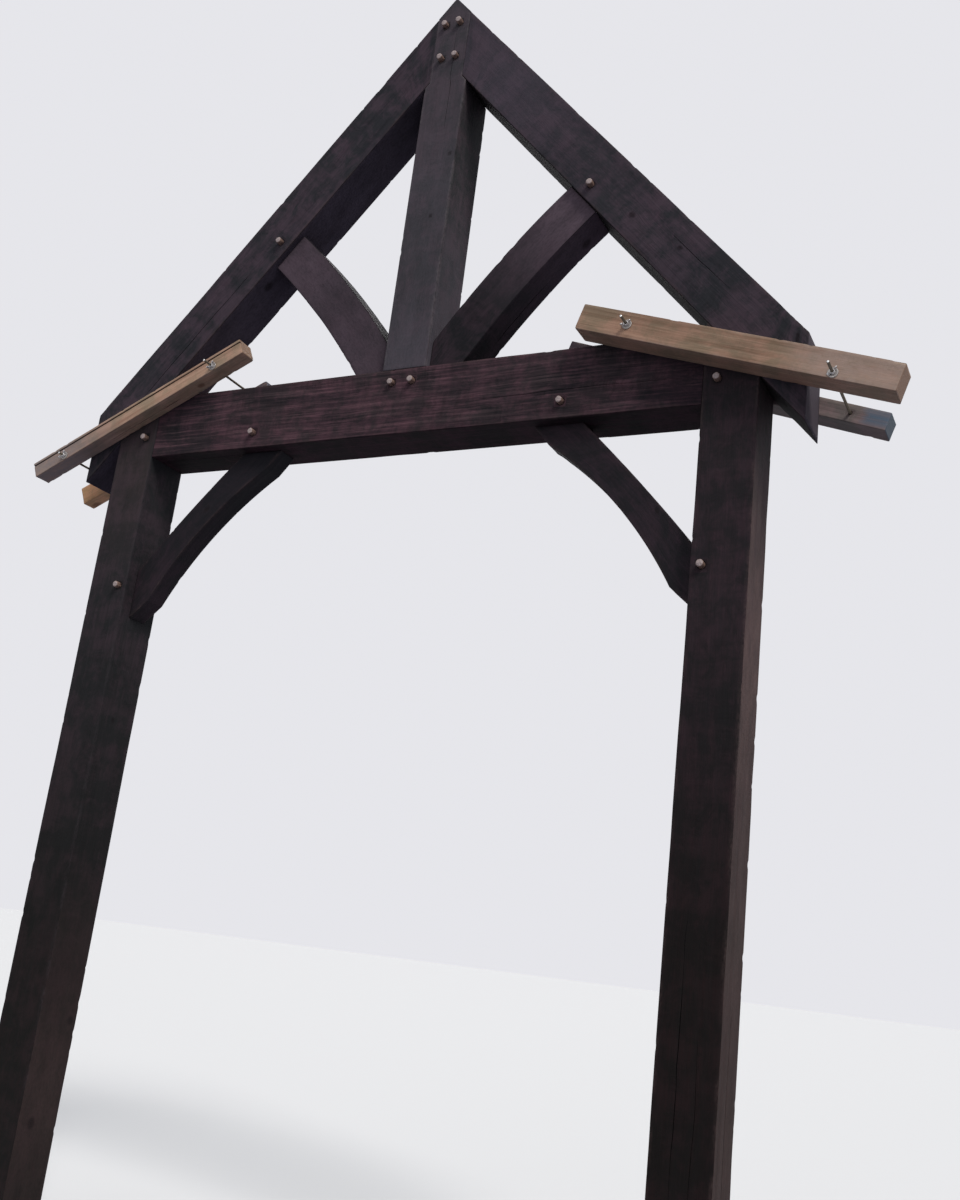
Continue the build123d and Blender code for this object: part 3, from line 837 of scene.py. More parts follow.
# Where each kind of peg stands on the right half: out from the middle, and height
PEG_PLACES = {
    "rafter_upper": (0.034, RIDGE - 0.134),
    "rafter_lower": (0.034, RIDGE - 0.303),
    "king_foot": (0.045, TIE_TOP - 0.057),
    "strut": tuple(strut_peg_place()),
    "tie": (POST_INNER + 0.0515, SOFFIT + 0.091),
    "brace_tie": (POST_INNER - 0.5215, SOFFIT + 0.065),
    "brace_post": (POST_INNER + 0.0395, SOFFIT - 0.572),
}


def peg_targets(sides, *names):
    """Where some pegs stand on some sides: X and Z in the model's frame."""
    return [np.array((MIDDLE + side * PEG_PLACES[name][0], PEG_PLACES[name][1]))
            for side in sides for name in names]


def make_pegs(material):
    """Every peg, at its place on the right half and again at the mirrored place."""
    for number, (name, (out, height)) in enumerate(PEG_PLACES.items()):
        for word, side in SIDES.items():
            node = f"{word}_peg_{name}"
            seed = FIRST_PEG_SEED + 2 * number + side
            make_peg(node + "_riven", node, (MIDDLE + side * out, height), seed, material)


# Battens, rods, washers and nuts, with each rod's place out from the middle and its height
RODS = {
    "right": {"inner": (POST_INNER - 0.2535, SOFFIT + 0.2815), "outer": (TAIL_OUT + 0.103, SOFFIT + 0.016)},
    "left": {"inner": (POST_INNER - 0.3125, SOFFIT + 0.3505), "outer": (TAIL_OUT + 0.076, SOFFIT + 0.0075)},
}
# slope is in degrees, rise is over the outer rod, and the last two lengths are past the rods
Batten = namedtuple("Batten", "width depth slope rise past_inner past_outer knots")
BATTENS = {
    "right_front": Batten(0.098, 0.100, 18.3, 0.031, 0.1905, 0.217, knots=2),
    "right_rear": Batten(0.066, 0.095, 19.4, 0.0005, 0.372, 0.1315, knots=3),
    "left_front": Batten(0.071, 0.079, 24.9, 0.017, 0.1445, 0.1775, knots=1),
    "left_rear": Batten(0.086, 0.066, 24.7, -0.009, 0.086, 0.1545, knots=3),
}
WING_TURNS = {"right": (20, 40), "left": (-45, -48)}  # in degrees, inner and outer


def clamp_faces(side):
    """Where the outer faces of a clamp's two battens lie along Y."""
    return FRONT - BATTENS[side + "_front"].depth, BACK + BATTENS[side + "_rear"].depth


def rod_place(side, word):
    """Where a rod's middle line stands: X and Z in the model's frame."""
    out, height = RODS[side][word]
    return MIDDLE + SIDES[side] * out, height


def batten_lengths(key):
    """How far a batten runs from its inner rod to its outer one, and its whole length."""
    rods, batten = RODS[key.split("_")[0]], BATTENS[key]
    run = (rods["outer"][0] - rods["inner"][0]) / math.cos(math.radians(batten.slope))
    return run, run + batten.past_inner + batten.past_outer


def make_batten(key, material):
    """A sawn stick down the slope of its clamp, bored for its two rods."""
    side, end = key.split("_")
    batten = BATTENS[key]
    run, length = batten_lengths(key)
    angle = math.radians(batten.slope)
    down, up = np.array((math.cos(angle), -math.sin(angle))), np.array((math.sin(angle), math.cos(angle)))
    origin = RODS[side]["outer"] + np.array((0, batten.rise)) - down * (run + batten.past_inner)
    middle_y = FRONT - batten.depth / 2 if end == "front" else BACK + batten.depth / 2
    in_plane = straight(origin, down, up, length, zone=0.05, side=SIDES[side])

    def place(x, a, b):
        return in_plane(x, a, b + middle_y)

    node = f"{side}_batten_{end}"
    stick = Stick(length, batten.width, batten.depth, SEEDS[node], cracks=1, knots=batten.knots,
                  arris=0.0025, step=0.0075, rough=0.8)
    stick.bore_radius = ROD_RADIUS + ROD_CLEARANCE
    stick.bores = tuple(np.array(rod_place(side, word)) for word in ("inner", "outer"))
    if end == "rear":
        # Painted shade: the rear battens go over to a dark tone at their inner ends, behind the tie.
        stick.toned = [((0, 1, 2, 3), (0, 0.16, 0.30), (1.0, 1.0, 0.0))]
    elif side == "right":
        stick.toned = [((0,), (length - 0.42, length - 0.25), (0.0, 0.6))]
    else:
        stick.toned = [((0, 1, 2, 3), (length - 0.50, length - 0.20), (0.0, 0.9))]
        stick.groove = Groove(1 - 0.0125 / stick.run(0), 0.0042, 0.005)
    build_stick(key + "_batten_sawn", place, stick, material, node)


def make_rod(side, word, material):
    """A threaded rod: its radius rises and falls as a triangle wave of length over pitch less the turn."""
    near, far = clamp_faces(side)
    nut_end = WASHER_THICKNESS + NUT_HEIGHT
    low, high = near - nut_end - ROD_PAST_WING_NUT[side][word], far + nut_end + ROD_PAST_HEX_NUT
    lengths = np.linspace(low, high, int((high - low) / THREAD_PITCH * 4))[:, None]
    turn = np.arange(14)[None, :] / 14
    wave = np.abs(((lengths / THREAD_PITCH - turn) % 1) * 2 - 1)
    ends = np.minimum(lengths - low, high - lengths)
    radii = (ROD_RADIUS - THREAD_DEPTH + THREAD_DEPTH * wave) * np.clip(0.80 + ends / 0.006, 0, 1)
    cut = np.broadcast_to(np.clip(1 - ends / 0.0006, 0, 1), radii.shape)
    turned(f"{side}_rod_{word}_threaded", rod_place(side, word), lengths, radii, material,
           f"{side}_rod_{word}", "zinc_steel", cut_end=cut)


def ring_points(radii, lengths, columns):
    """A closed profile carried round the Y axis. Its radii may differ with the angle."""
    angle = turns(columns)
    radii = radii if radii.ndim == 2 else np.repeat(radii[:, None], columns, 1)
    y = np.broadcast_to(lengths[:, None], radii.shape)
    return np.stack([radii * np.cos(angle), y, radii * np.sin(angle)], -1).reshape(-1, 3)


def make_ring(name, side, word, radii, lengths, columns, material, node):
    """A ring-shaped piece on a rod, from a closed profile."""
    x, z = rod_place(side, word)
    surface = Surface()
    points = ring_points(radii, lengths, columns) + (x, 0, z)
    surface.add(points, grid_quads(len(lengths), columns, ring=True))
    make_piece(name, surface, material, node)


def make_washer(side, word, where, material):
    """A stamped washer: a flat ring whose outer rim is rounded on the side that faces out."""
    near, far = clamp_faces(side)
    face, outward = (near, -1) if where == "front" else (far, 1)
    t, outer, inner = WASHER_THICKNESS, WASHER_RADIUS, ROD_RADIUS + ROD_CLEARANCE
    radii, lengths = np.array([
        (inner, 0), (inner, t - 0.0004), (inner + 0.0004, t), (outer - 0.0016, t),
        (outer - 0.0006, t - 0.0003), (outer, t - 0.0010), (outer, 0.0004), (outer - 0.0003, 0)]).T
    node = f"{side}_washer_{where}_{word}"
    make_ring(node + "_stamped", side, word, radii, face + outward * lengths, 64, material, node)


def make_hex_nut(side, word, material):
    """A hexagon nut: the least of the flats' distance and two chamfer cones, with a bore through it."""
    columns, half, bore = 96, NUT_FLATS / 2, ROD_RADIUS + NUT_CLEARANCE
    sixth, t = math.pi / 6, NUT_HEIGHT
    angle = turns(columns)
    flats = half / np.cos((angle + sixth) % (2 * sixth) - sixth)
    lengths = np.concatenate([[0.0, 0.0], np.linspace(0.0, t, 17), [t, t, t * 0.94, t * 0.06]])
    cone = half * 0.97 + np.minimum(lengths, t - lengths) * 1.6
    radii = np.minimum(flats[None, :], cone[:, None])
    radii[[0, -3]] = bore + 0.0012
    radii[[1, -4]] = 0.9 * half
    radii[[-1, -2]] = bore
    base, node = clamp_faces(side)[1] + WASHER_THICKNESS, f"{side}_hex_nut_{word}"
    make_ring(node + "_forged", side, word, radii, base + lengths, columns, material, node)


def wing_points(rows, columns):
    """One wing: rounded flat sections set square to a line that leaves the hub and curls up to the ear.

    The line is a cubic with set ends. The section's half width swells at the ear and closes as a circle.
    """
    t = np.linspace(0, 1, rows)
    leads = np.array([(0.0050, 0.0046), (0.0108, 0.0048), (0.0145, 0.0080), (0.0168, 0.0180)])
    line = np.stack([(1 - t) ** 3, 3 * t * (1 - t) ** 2, 3 * t * t * (1 - t), t ** 3], -1) @ leads
    way = np.gradient(line, axis=0)
    way /= np.linalg.norm(way, axis=1)[:, None]
    close = np.sqrt(np.clip(1 - np.clip((t - 0.82) / 0.18, 0, 1) ** 2, 0.0, 1))
    waist = 0.0016 * np.sin(math.pi * np.clip(t / 0.6, 0, 1))
    half = (0.0043 - waist + 0.0006 * t) * np.maximum(close, 0.05)
    thick = (0.0026 - 0.0008 * t) * np.maximum(close, 0.12) ** 0.5
    angle = turns(columns)
    c, s = (np.sign(wave) * np.abs(wave) ** 0.7 for wave in (np.cos(angle), np.sin(angle)))
    u = line[:, :1] - way[:, 1:] * half[:, None] * c
    h = line[:, 1:] + way[:, :1] * half[:, None] * c
    return np.stack([u, thick[:, None] * s, h], -1)


def make_wing_nut(side, word, turn, material):
    """A forged wing nut: a conical hub with a bore, and two wings opposite each other."""
    columns, bore = 64, ROD_RADIUS + NUT_CLEARANCE
    radii, heights = np.array([
        (bore + 0.0010, 0), (0.0082, 0), (0.0085, 0.0006), (0.0083, 0.0022), (0.0078, 0.0060),
        (0.0071, 0.0094), (0.0066, 0.0100), (bore + 0.0010, 0.0100), (bore, 0.0090), (bore, 0.0010)]).T
    hub = ring_points(radii, heights, columns)[:, [0, 2, 1]]
    surface = Surface()
    surface.add(hub, grid_quads(len(radii), columns, ring=True))
    rows, around = 26, 20
    wing = wing_points(rows, around)
    wing = np.concatenate([wing.reshape(-1, 3), wing[[0, -1]].mean(axis=1)])
    for flip in (1, -1):
        quads, triangles = grid_quads(rows, around) + surface.count, end_fans(surface.count, rows, around)
        surface.add(wing * (flip, flip, 1), quads[:, ::-1], triangles[:, ::-1])
    angle = math.radians(turn)
    x, z = rod_place(side, word)
    near = clamp_faces(side)[0] - WASHER_THICKNESS
    for patch in surface.points:
        u, v, height = patch.T.copy()
        patch[:, 0] = x + SIDES[side] * (u * math.cos(angle) - v * math.sin(angle))
        patch[:, 1] = near - height
        patch[:, 2] = z + u * math.sin(angle) + v * math.cos(angle)
    node = f"{side}_wing_nut_{word}"
    make_piece(node + "_forged", surface, material, node)


def make_clamps(woods, metals):
    """The two clamps, each with its battens, rods, washers and nuts."""
    for key in BATTENS:
        make_batten(key, woods[key])
    for side in ("right", "left"):
        for word, turn in zip(("inner", "outer"), WING_TURNS[side]):
            make_rod(side, word, metals["rod"])
            make_washer(side, word, "front", metals["washer"])
            make_washer(side, word, "rear", metals["washer"])
            make_wing_nut(side, word, turn, metals["nut"])
            make_hex_nut(side, word, metals["nut"])


# Materials
def shade(red, green, blue):
    """A colour as it looks on a screen, 0 to 255 each, as the light values that a shader takes."""
    def light(value):
        value = value / 255
        return value / 12.92 if value <= 0.04045 else ((value + 0.055) / 1.055) ** 2.4
    return (light(red), light(green), light(blue), 1.0)


class Nodes:
    """A shader node tree, with a method for each kind of step that the materials take."""

    def __init__(self, tree):
        self.tree = tree

    def feed(self, node, inputs):
        """Link or set some of a node's inputs."""
        for key, value in inputs.items():
            if isinstance(value, bpy.types.NodeSocket):
                self.tree.links.new(value, node.inputs[key])
            else:
                node.inputs[key].default_value = value
        return node

    def put(self, kind, inputs=None, **choices):
        """Add a node, make its choices, and feed it."""
        node = self.tree.nodes.new(kind)
        for key, value in choices.items():
            setattr(node, key, value)
        return self.feed(node, inputs or {})

    def calc(self, operation, first, second=0.0, clamp=False):
        """One step of arithmetic on two values."""
        inputs = {0: first, 1: second}
        return self.put("ShaderNodeMath", inputs, operation=operation, use_clamp=clamp).outputs[0]

    def times(self, first, second, clamp=False):
        """The product of two values."""
        return self.calc("MULTIPLY", first, second, clamp)

    def plus(self, first, second):
        """The sum of two values."""
        return self.calc("ADD", first, second)

    def spread(self, value, low, high, start=0.0, end=1.0):
        """A value stretched from low and high to start and end, and held there."""
        inputs = {"Value": value, "From Min": low, "From Max": high, "To Min": start, "To Max": end}
        return self.put("ShaderNodeMapRange", inputs).outputs[0]

    def mix(self, factor, first, second, blend="MIX"):
        """Two colours mixed by a factor."""
        inputs = {0: factor, 6: first, 7: second}
        return self.put("ShaderNodeMix", inputs, data_type="RGBA", blend_type=blend).outputs[2]

    def tint(self, color, other, factor=1.0):
        """A colour multiplied by another."""
        return self.mix(factor, color, other, "MULTIPLY")

    def vector(self, operation, first, second):
        """One step of arithmetic on two vectors."""
        return self.put("ShaderNodeVectorMath", {0: first, 1: second}, operation=operation).outputs[0]

    def clouds(self, place, often, detail=3.0, rough=0.55, distortion=0.0):
        """Noise from 0 to 1 that changes so often in a metre, given at once or for each way."""
        if isinstance(often, tuple):
            place, often = self.vector("MULTIPLY", place, often), 1.0
        inputs = {"Vector": place, "Scale": often, "Detail": detail, "Roughness": rough,
                  "Distortion": distortion}
        return self.put("ShaderNodeTexNoise", inputs).outputs[0]

    def split(self, vector):
        """A vector's three parts."""
        return self.put("ShaderNodeSeparateXYZ", {"Vector": vector}).outputs

    def number(self, label, output="Fac"):
        """What the mesh says for each point under a label."""
        return self.put("ShaderNodeAttribute", attribute_name=label).outputs[output]

    def bump(self, height, strength, distance):
        """A normal that leans as a height would make it."""
        inputs = {"Height": height, "Strength": strength, "Distance": distance}
        return self.put("ShaderNodeBump", inputs).outputs["Normal"]


def start_material(name):
    """A new material, its nodes, and its shader, ready to be wired."""
    material = bpy.data.materials.new(name)
    material.use_nodes = True
    return material, Nodes(material.node_tree), material.node_tree.nodes["Principled BSDF"]


def new_group(name, inputs, outputs):
    """A node group. An input that starts as None is a vector, and one that starts as a tuple a colour."""
    tree = bpy.data.node_groups.new(name, "ShaderNodeTree")
    for label, start in inputs.items():
        kind = "Vector" if start is None else "Color" if isinstance(start, tuple) else "Float"
        socket = tree.interface.new_socket(label, in_out="INPUT", socket_type="NodeSocket" + kind)
        if start is not None:
            socket.default_value = start
    for label, kind in outputs.items():
        tree.interface.new_socket(label, in_out="OUTPUT", socket_type="NodeSocket" + kind)
    nodes = Nodes(tree)
    return nodes, nodes.put("NodeGroupInput").outputs, nodes.put("NodeGroupOutput")


def grain_group():
    """Oak grain and saw marks from a place along, across and through a stick.

    Fibre and streaks are noise drawn out along the stick, and blotches are noise drawn out less. Saw marks
    are uneven bands of noise across the stick, bent a little and faded in and out by more noise. Mottle is
    noise in patches of a hand's width. Rings are a wave of the distance from a heart outside the stick.
    """
    labels = ("Fibre", "Streak", "Blotch", "Saw", "Rings", "Mottle")
    nodes, given, result = new_group("sawn_grain", {"Grain": None, "Saw pitch": 0.008, "Fineness": 1.0},
                                     dict.fromkeys(labels, "Float"))
    grain = given["Grain"]
    fibre = nodes.clouds(grain, (9, 330, 330), rough=0.6)

    bend = nodes.clouds(grain, (1.1, 6, 6), detail=2.0)
    bend = nodes.put("ShaderNodeCombineXYZ", {"X": 0.0, "Y": bend, "Z": bend}).outputs[0]
    bent = nodes.vector("ADD", grain, nodes.vector("MULTIPLY", bend, (0, 0.03, 0.03)))
    inputs = {0: nodes.vector("MULTIPLY", bent, (1.6, 62, 62)), 3: given["Fineness"]}
    drawn = nodes.put("ShaderNodeVectorMath", inputs, operation="SCALE").outputs[0]
    streak = nodes.clouds(drawn, 1.0, detail=5.0, rough=0.68)
    blotch = nodes.clouds(grain, (2.6, 8.5, 8.5), detail=5.0, rough=0.62, distortion=0.6)

    along, across, through = nodes.split(grain)
    sway = nodes.clouds(grain, (3, 14, 14), detail=2.0)
    turns = nodes.plus(nodes.calc("DIVIDE", along, given["Saw pitch"]), nodes.times(sway, 5.0))
    bands = nodes.put("ShaderNodeCombineXYZ", {
        "X": turns, "Y": nodes.times(across, 4.0), "Z": nodes.times(through, 4.0)}).outputs[0]
    fade = nodes.spread(nodes.clouds(grain, (4, 17, 17)), 0.40, 0.68)
    saw = nodes.times(nodes.spread(nodes.clouds(bands, 1.0, detail=2.0, rough=0.7), 0.38, 0.66), fade)

    patches = nodes.clouds(grain, (10, 17, 17), detail=6.0, rough=0.78, distortion=0.4)
    bars = nodes.clouds(grain, (8, 2.5, 2.5), rough=0.6)
    mottle = nodes.plus(nodes.times(patches, 0.55), nodes.times(bars, 0.45))

    flat = nodes.vector("MULTIPLY", nodes.vector("SUBTRACT", grain, (0.0, 0.135, 0.05)), (0, 1, 1))
    far = nodes.put("ShaderNodeVectorMath", {0: flat}, operation="LENGTH").outputs["Value"]
    bumpy = nodes.plus(far, nodes.times(nodes.clouds(flat, 26.0, detail=2.0), 0.008))
    rings = nodes.spread(nodes.calc("SINE", nodes.times(bumpy, 1450.0)), -0.4, 1.0)
    nodes.feed(result, dict(zip(labels, (fibre, streak, blotch, saw, rings, mottle))))
    return nodes.tree


def marks_group():
    """What age and tools leave on wood, and painted shade: knots, cracks, rubbed arrises, cut ends and a
    second tone, laid over a colour.

    Each is the mesh's own number for it, roughened by noise, used to mix in that mark's colour. The dark in
    cracks, grooves and bore mouths is painted shade. The second tone is painted shade on the tie's ends,
    the left brace's top, the rear battens' inner ends, the top of the king post's right side and the
    struts' feet, painted light on the left rafter's underside, and weathering elsewhere.
    """
    black = (0.0, 0.0, 0.0, 1.0)
    colors = [label + " color" for label in ("Knot", "Crack", "Rubbed", "End", "Toned")]
    nodes, given, result = new_group(
        "timber_marks", {"Color": black, "Grain": None, "Rings": 0.5, **dict.fromkeys(colors, black)},
        {"Color": "Color", "Height": "Float"})
    knot = nodes.number("knot")
    grit = nodes.clouds(given["Grain"], (60, 130, 130))
    ripples = nodes.calc("SINE", nodes.times(nodes.plus(knot, nodes.times(grit, 0.12)), 34.0))
    knotted = nodes.spread(nodes.plus(knot, nodes.times(grit, 0.15)), 0.30, 0.72)
    # The second tone: weathering on some sticks, painted shade on others, painted light on the left rafter.
    toned = nodes.times(nodes.number("toned"), nodes.spread(grit, 0.2, 0.6, 0.55, 1.0))
    color = nodes.mix(toned, given["Color"], given["Toned color"])
    knot_tone = nodes.times(knotted, nodes.spread(ripples, -1, 1, 0.45, 0.75))
    color = nodes.mix(knot_tone, color, given["Knot color"])
    rubbed = nodes.times(nodes.number("wear"), nodes.spread(grit, 0.30, 0.70, 0.0, 0.45), clamp=True)
    color = nodes.mix(rubbed, color, given["Rubbed color"])
    ringed = nodes.mix(nodes.times(given["Rings"], 0.32), given["End color"], given["Crack color"])
    color = nodes.mix(nodes.number("cut_end"), color, ringed)
    # Painted shade: cracks, the groove and bore mouths take the crack colour.
    color = nodes.mix(nodes.spread(nodes.number("crack"), 0.08, 0.6), color, given["Crack color"])
    height = nodes.times(ripples, nodes.times(knotted, 0.12))
    height = nodes.calc("SUBTRACT", height, nodes.times(knotted, 0.2))
    nodes.feed(result, {"Color": color, "Height": height})
    return nodes.tree


# Each crack colour darkens the end rings, and is painted shade in cracks, grooves and bore mouths.
STAINED_MARKS = {"Knot": (16, 11, 12), "Crack": (5, 4, 4), "Rubbed": (72, 58, 55), "End": (34, 26, 26),
                 "Toned": (86, 68, 64)}
BARE_MARKS = {"Knot": (84, 54, 38), "Crack": (44, 31, 26), "Rubbed": (150, 132, 118), "End": (134, 108, 90),
              "Toned": (140, 126, 118)}
GREENISH, REDDISH = (0.66, 0.75, 0.71, 1), (1.36, 1.14, 1.18, 1)
WHITE = (1, 1, 1, 1)


def wood(name, groups, dark, middle, light, marks, saw_pitch=0.014, saw=0.22, streak=(0.30, 0.78),
         blotch=(0.36, 0.64), rough=0.76, fineness=1.0, gloss=0.10, paint=None, darken=None, patchy=1.0):
    """Wood coloured from dark to middle by blotches, then to light by streaks.

    Fibre and saw marks darken it, and mottle tints it, as far as patchy says. paint, if given, is a colour
    that covers the stick past a place along it, with a ragged edge. darken, if given, is a grain axis, two
    places on it, and the colour that multiplies the wood's at the first of them and is white at the second.
    """
    material, nodes, shader = start_material(name)
    grain = nodes.number("grain", "Vector")
    texture = nodes.put("ShaderNodeGroup", {"Grain": grain, "Saw pitch": saw_pitch, "Fineness": fineness},
                        node_tree=groups["grain"]).outputs
    color = nodes.mix(nodes.spread(texture["Blotch"], *blotch), shade(*dark), shade(*middle))
    color = nodes.mix(nodes.spread(texture["Streak"], *streak), color, shade(*light))
    fine = nodes.spread(texture["Fibre"], 0.30, 0.62, 0.72, 1.0)
    tone = nodes.times(fine, nodes.spread(texture["Saw"], 0.0, 1.0, 1.0, 1.0 - saw))
    color = nodes.tint(color, nodes.put("ShaderNodeCombineColor", {0: tone, 1: tone, 2: tone}).outputs[0])
    if darken:
        axis, low, high, deepest = darken
        shadow = nodes.mix(nodes.spread(nodes.split(grain)[axis], low, high), (*deepest, 1), WHITE)
        color = nodes.tint(color, shadow)
    mottle = nodes.mix(nodes.spread(texture["Mottle"], 0.44, 0.56), GREENISH, REDDISH)
    color = nodes.tint(color, mottle, patchy)
    if paint:
        color = nodes.mix(paint_mask(nodes, grain, paint[1], texture["Streak"]), color, shade(*paint[0]))
    colors = {label + " color": shade(*numbers) for label, numbers in marks.items()}
    inputs = {"Color": color, "Grain": grain, "Rings": texture["Rings"], **colors}
    laid = nodes.put("ShaderNodeGroup", inputs, node_tree=groups["marks"]).outputs
    height = nodes.plus(nodes.times(texture["Fibre"], 0.55), nodes.times(texture["Saw"], 0.5))
    height = nodes.plus(nodes.plus(height, laid["Height"]), nodes.times(texture["Streak"], 0.5))
    nodes.feed(shader, {"Base Color": laid["Color"], "Normal": nodes.bump(height, 0.75, 0.0012),
                        "Roughness": nodes.spread(texture["Streak"], 0.3, 0.7, rough - 0.08, rough + 0.1),
                        "Specular IOR Level": gloss})
    return material


def paint_mask(nodes, grain, start, streak):
    """1 past a place along the stick, but for its underside, with an edge made ragged by streaks."""
    along, across, _ = nodes.split(grain)
    upper = nodes.spread(across, -0.032, -0.022)
    thin = nodes.spread(streak, 0.34, 0.62, 0.95, 0.55)
    ragged = nodes.plus(along, nodes.times(streak, 0.07))
    return nodes.times(nodes.times(upper, thin), nodes.spread(ragged, start, start + 0.025))


def make_woods():
    """Every stick's wood: dark, middle and light colours, the colours of its marks, and its own look."""
    groups = {"grain": grain_group(), "marks": marks_group()}
    starts = {node: GRAIN_STEP * seed for node, seed in SEEDS.items()}

    def stained(name, *colors, marks=None, **look):
        return wood("stained_" + name, groups, *colors, {**STAINED_MARKS, **(marks or {})}, **look)

    def bare(name, *colors, marks, saw=0.10, **look):
        return wood("bare_batten_" + name, groups, *colors, {**BARE_MARKS, **marks}, saw_pitch=0.005,
                    saw=saw, rough=0.66, patchy=0.5, **look)

    paint_start = starts["right_batten_rear"] + batten_lengths("right_rear")[1] - 0.060
    return {
        "left_post": stained(
            "left_post", (30, 30, 31), (40, 36, 39), (48, 43, 46), marks={"Rubbed": (52, 46, 48)},
            darken=(0, starts["left_post"] + 0.9, starts["left_post"] + 2.5, (0.46, 0.42, 0.36))),
        "right_post": stained(
            "right_post", (28, 26, 28), (36, 29, 33), (45, 36, 39),
            darken=(0, starts["right_post"] + 1.2, starts["right_post"] + 2.4, (0.42, 0.37, 0.31))),
        "tie": stained(
            # The tie's dark second tone is painted shadow of the battens on its ends.
            "tie", (40, 35, 38), (62, 48, 52), (82, 64, 67), marks={"Toned": (22, 20, 24)}, saw_pitch=0.012,
            saw=0.25, streak=(0.46, 0.68), blotch=(0.38, 0.60), fineness=1.7, gloss=0.03,
            # Painted shade: the soffit is darkened to 0.42.
            darken=(1, -0.1370, -0.1345, (0.42, 0.42, 0.44))),
        "king": stained(
            "king_post", (41, 39, 41), (51, 45, 49), (60, 55, 58), saw_pitch=0.020, saw=0.28,
            # The lighter second tone leaves the top of the right side darker, painted shade under the
            # rafters.
            marks={"Toned": (73, 68, 73), "Rubbed": (96, 88, 88)}),
        "rafter": stained(
            "rafters", (42, 41, 45), (54, 48, 53), (61, 56, 60), gloss=0.03,
            # Its lighter second tone is painted light on the left rafter's underside.
            marks={"Toned": (74, 66, 73), "End": (74, 67, 71)},
            # Painted shade: the underside is darkened to a quarter.
            darken=(1, -0.1050, -0.1030, (0.25, 0.25, 0.25))),
        "strut": stained(
            "struts", (33, 31, 34), (39, 35, 38), (46, 41, 44), gloss=0.03,
            # The lighter second tone leaves the feet darker, painted shade by the king post.
            marks={"Toned": (84, 71, 77), "Rubbed": (46, 40, 42)}),
        # The braces' dark second tone is painted shade under the tie.
        "brace": stained("braces", (27, 25, 29), (34, 28, 32), (41, 34, 38), marks={"Toned": (20, 19, 23)}),
        "right_front": bare(
            "right_front", (108, 82, 64), (134, 106, 84), (152, 128, 106),
            marks={"Toned": (150, 130, 118)}),
        "right_rear": bare(
            "right_rear", (92, 80, 78), (118, 104, 100), (134, 120, 114), saw=0.12,
            # The second tone is painted shade on the inner end, behind the tie.
            marks={"Toned": (66, 56, 60), "End": (84, 92, 98)}, paint=((84, 98, 110), paint_start),
            # Painted shade: the underside is darkened to 0.6.
            darken=(1, -0.0325, -0.0305, (0.6, 0.6, 0.6))),
        "left_front": bare(
            "left_front", (120, 94, 76), (152, 124, 100), (172, 146, 122),
            marks={"Toned": (118, 108, 106)}),
        "left_rear": bare(
            "left_rear", (170, 122, 84), (196, 148, 106), (208, 164, 124),
            # The second tone and the end colour are painted shade on the inner end, behind the tie.
            marks={"Toned": (86, 80, 86), "End": (92, 88, 96)}),
    }


def peg_wood():
    """Bare riven oak: pale where it is cut, and brown near the timber, from stain and from painted shade in
    the crease there.
    """
    material, nodes, shader = start_material("riven_peg_oak")
    place = nodes.put("ShaderNodeTexCoord").outputs["Object"]
    fibre = nodes.clouds(place, (900, 24, 900))
    color = nodes.mix(nodes.spread(fibre, 0.35, 0.65), shade(96, 74, 62), shade(128, 102, 88))
    blot = nodes.spread(nodes.clouds(place, 120.0), 0.38, 0.60)
    # Brown blots, most near the timber: stain, and painted shade in the crease at the timber's face.
    stain_and_crease_shade = nodes.times(nodes.plus(nodes.number("smeared"), 0.25), blot, clamp=True)
    color = nodes.mix(stain_and_crease_shade, color, shade(58, 38, 34))
    pores = nodes.spread(nodes.clouds(place, (1500, 10, 420), detail=2.0), 0.36, 0.6)
    end = nodes.mix(pores, shade(104, 90, 86), shade(158, 142, 136))
    color = nodes.mix(nodes.number("sawn"), color, end)
    nodes.feed(shader, {"Base Color": color, "Normal": nodes.bump(fibre, 0.5, 0.0005), "Roughness": 0.6})
    return material


def zinc(name, pale, dull, metallic, cut=None):
    """Zinc plate: pale metal with a crystal mottle, dull patches and fine scratches.

    cut, if given, is the colour of sawn ends.
    """
    material, nodes, shader = start_material(name)
    place = nodes.put("ShaderNodeTexCoord").outputs["Object"]
    patches = nodes.clouds(place, 160.0, detail=4.0)
    cells = nodes.put("ShaderNodeTexVoronoi", {"Vector": place, "Scale": 520.0}).outputs["Distance"]
    tone = nodes.plus(nodes.times(patches, 0.7), nodes.times(cells, 0.5))
    color = nodes.mix(nodes.spread(tone, 0.35, 0.85), shade(*pale), shade(*dull))
    if cut:
        color = nodes.mix(nodes.number("cut_end"), color, shade(*cut))
    scratches = nodes.clouds(place, (300, 2600, 900), detail=2.0)
    nodes.feed(shader, {"Base Color": color, "Normal": nodes.bump(scratches, 0.15, 0.0003),
                        "Roughness": nodes.spread(patches, 0.35, 0.65, 0.24, 0.5), "Metallic": metallic})
    return material


# Stage, light and camera. Each lamp has the way its light goes, its strength, and its breadth in degrees
LAMPS = (
    ("key", (-6.7, 5.0, -8.3), 2.6, 20),
    ("fill", (0.9, 9.0, -1.2), 0.42, 30),
    ("back", (4.0, -8.0, -7.0), 0.9, 30),
)
LAMP_REACH = 9
CAMERA_PLACE = (3.700, -3.7607, 1.1664)
HEADING, TILT, LEAN = math.radians(28.012), math.radians(15.628), math.radians(6.802)
FOCAL_OVER_HEIGHT = 1229.65 / 1200
SENSOR = 36.0


def seen_plainly(nodes):
    """1 for what the camera sees, at once or in a gloss, and 0 for light on its way between surfaces."""
    seen = nodes.put("ShaderNodeLightPath").outputs
    return nodes.calc("MAXIMUM", seen["Is Camera Ray"], seen["Is Glossy Ray"])


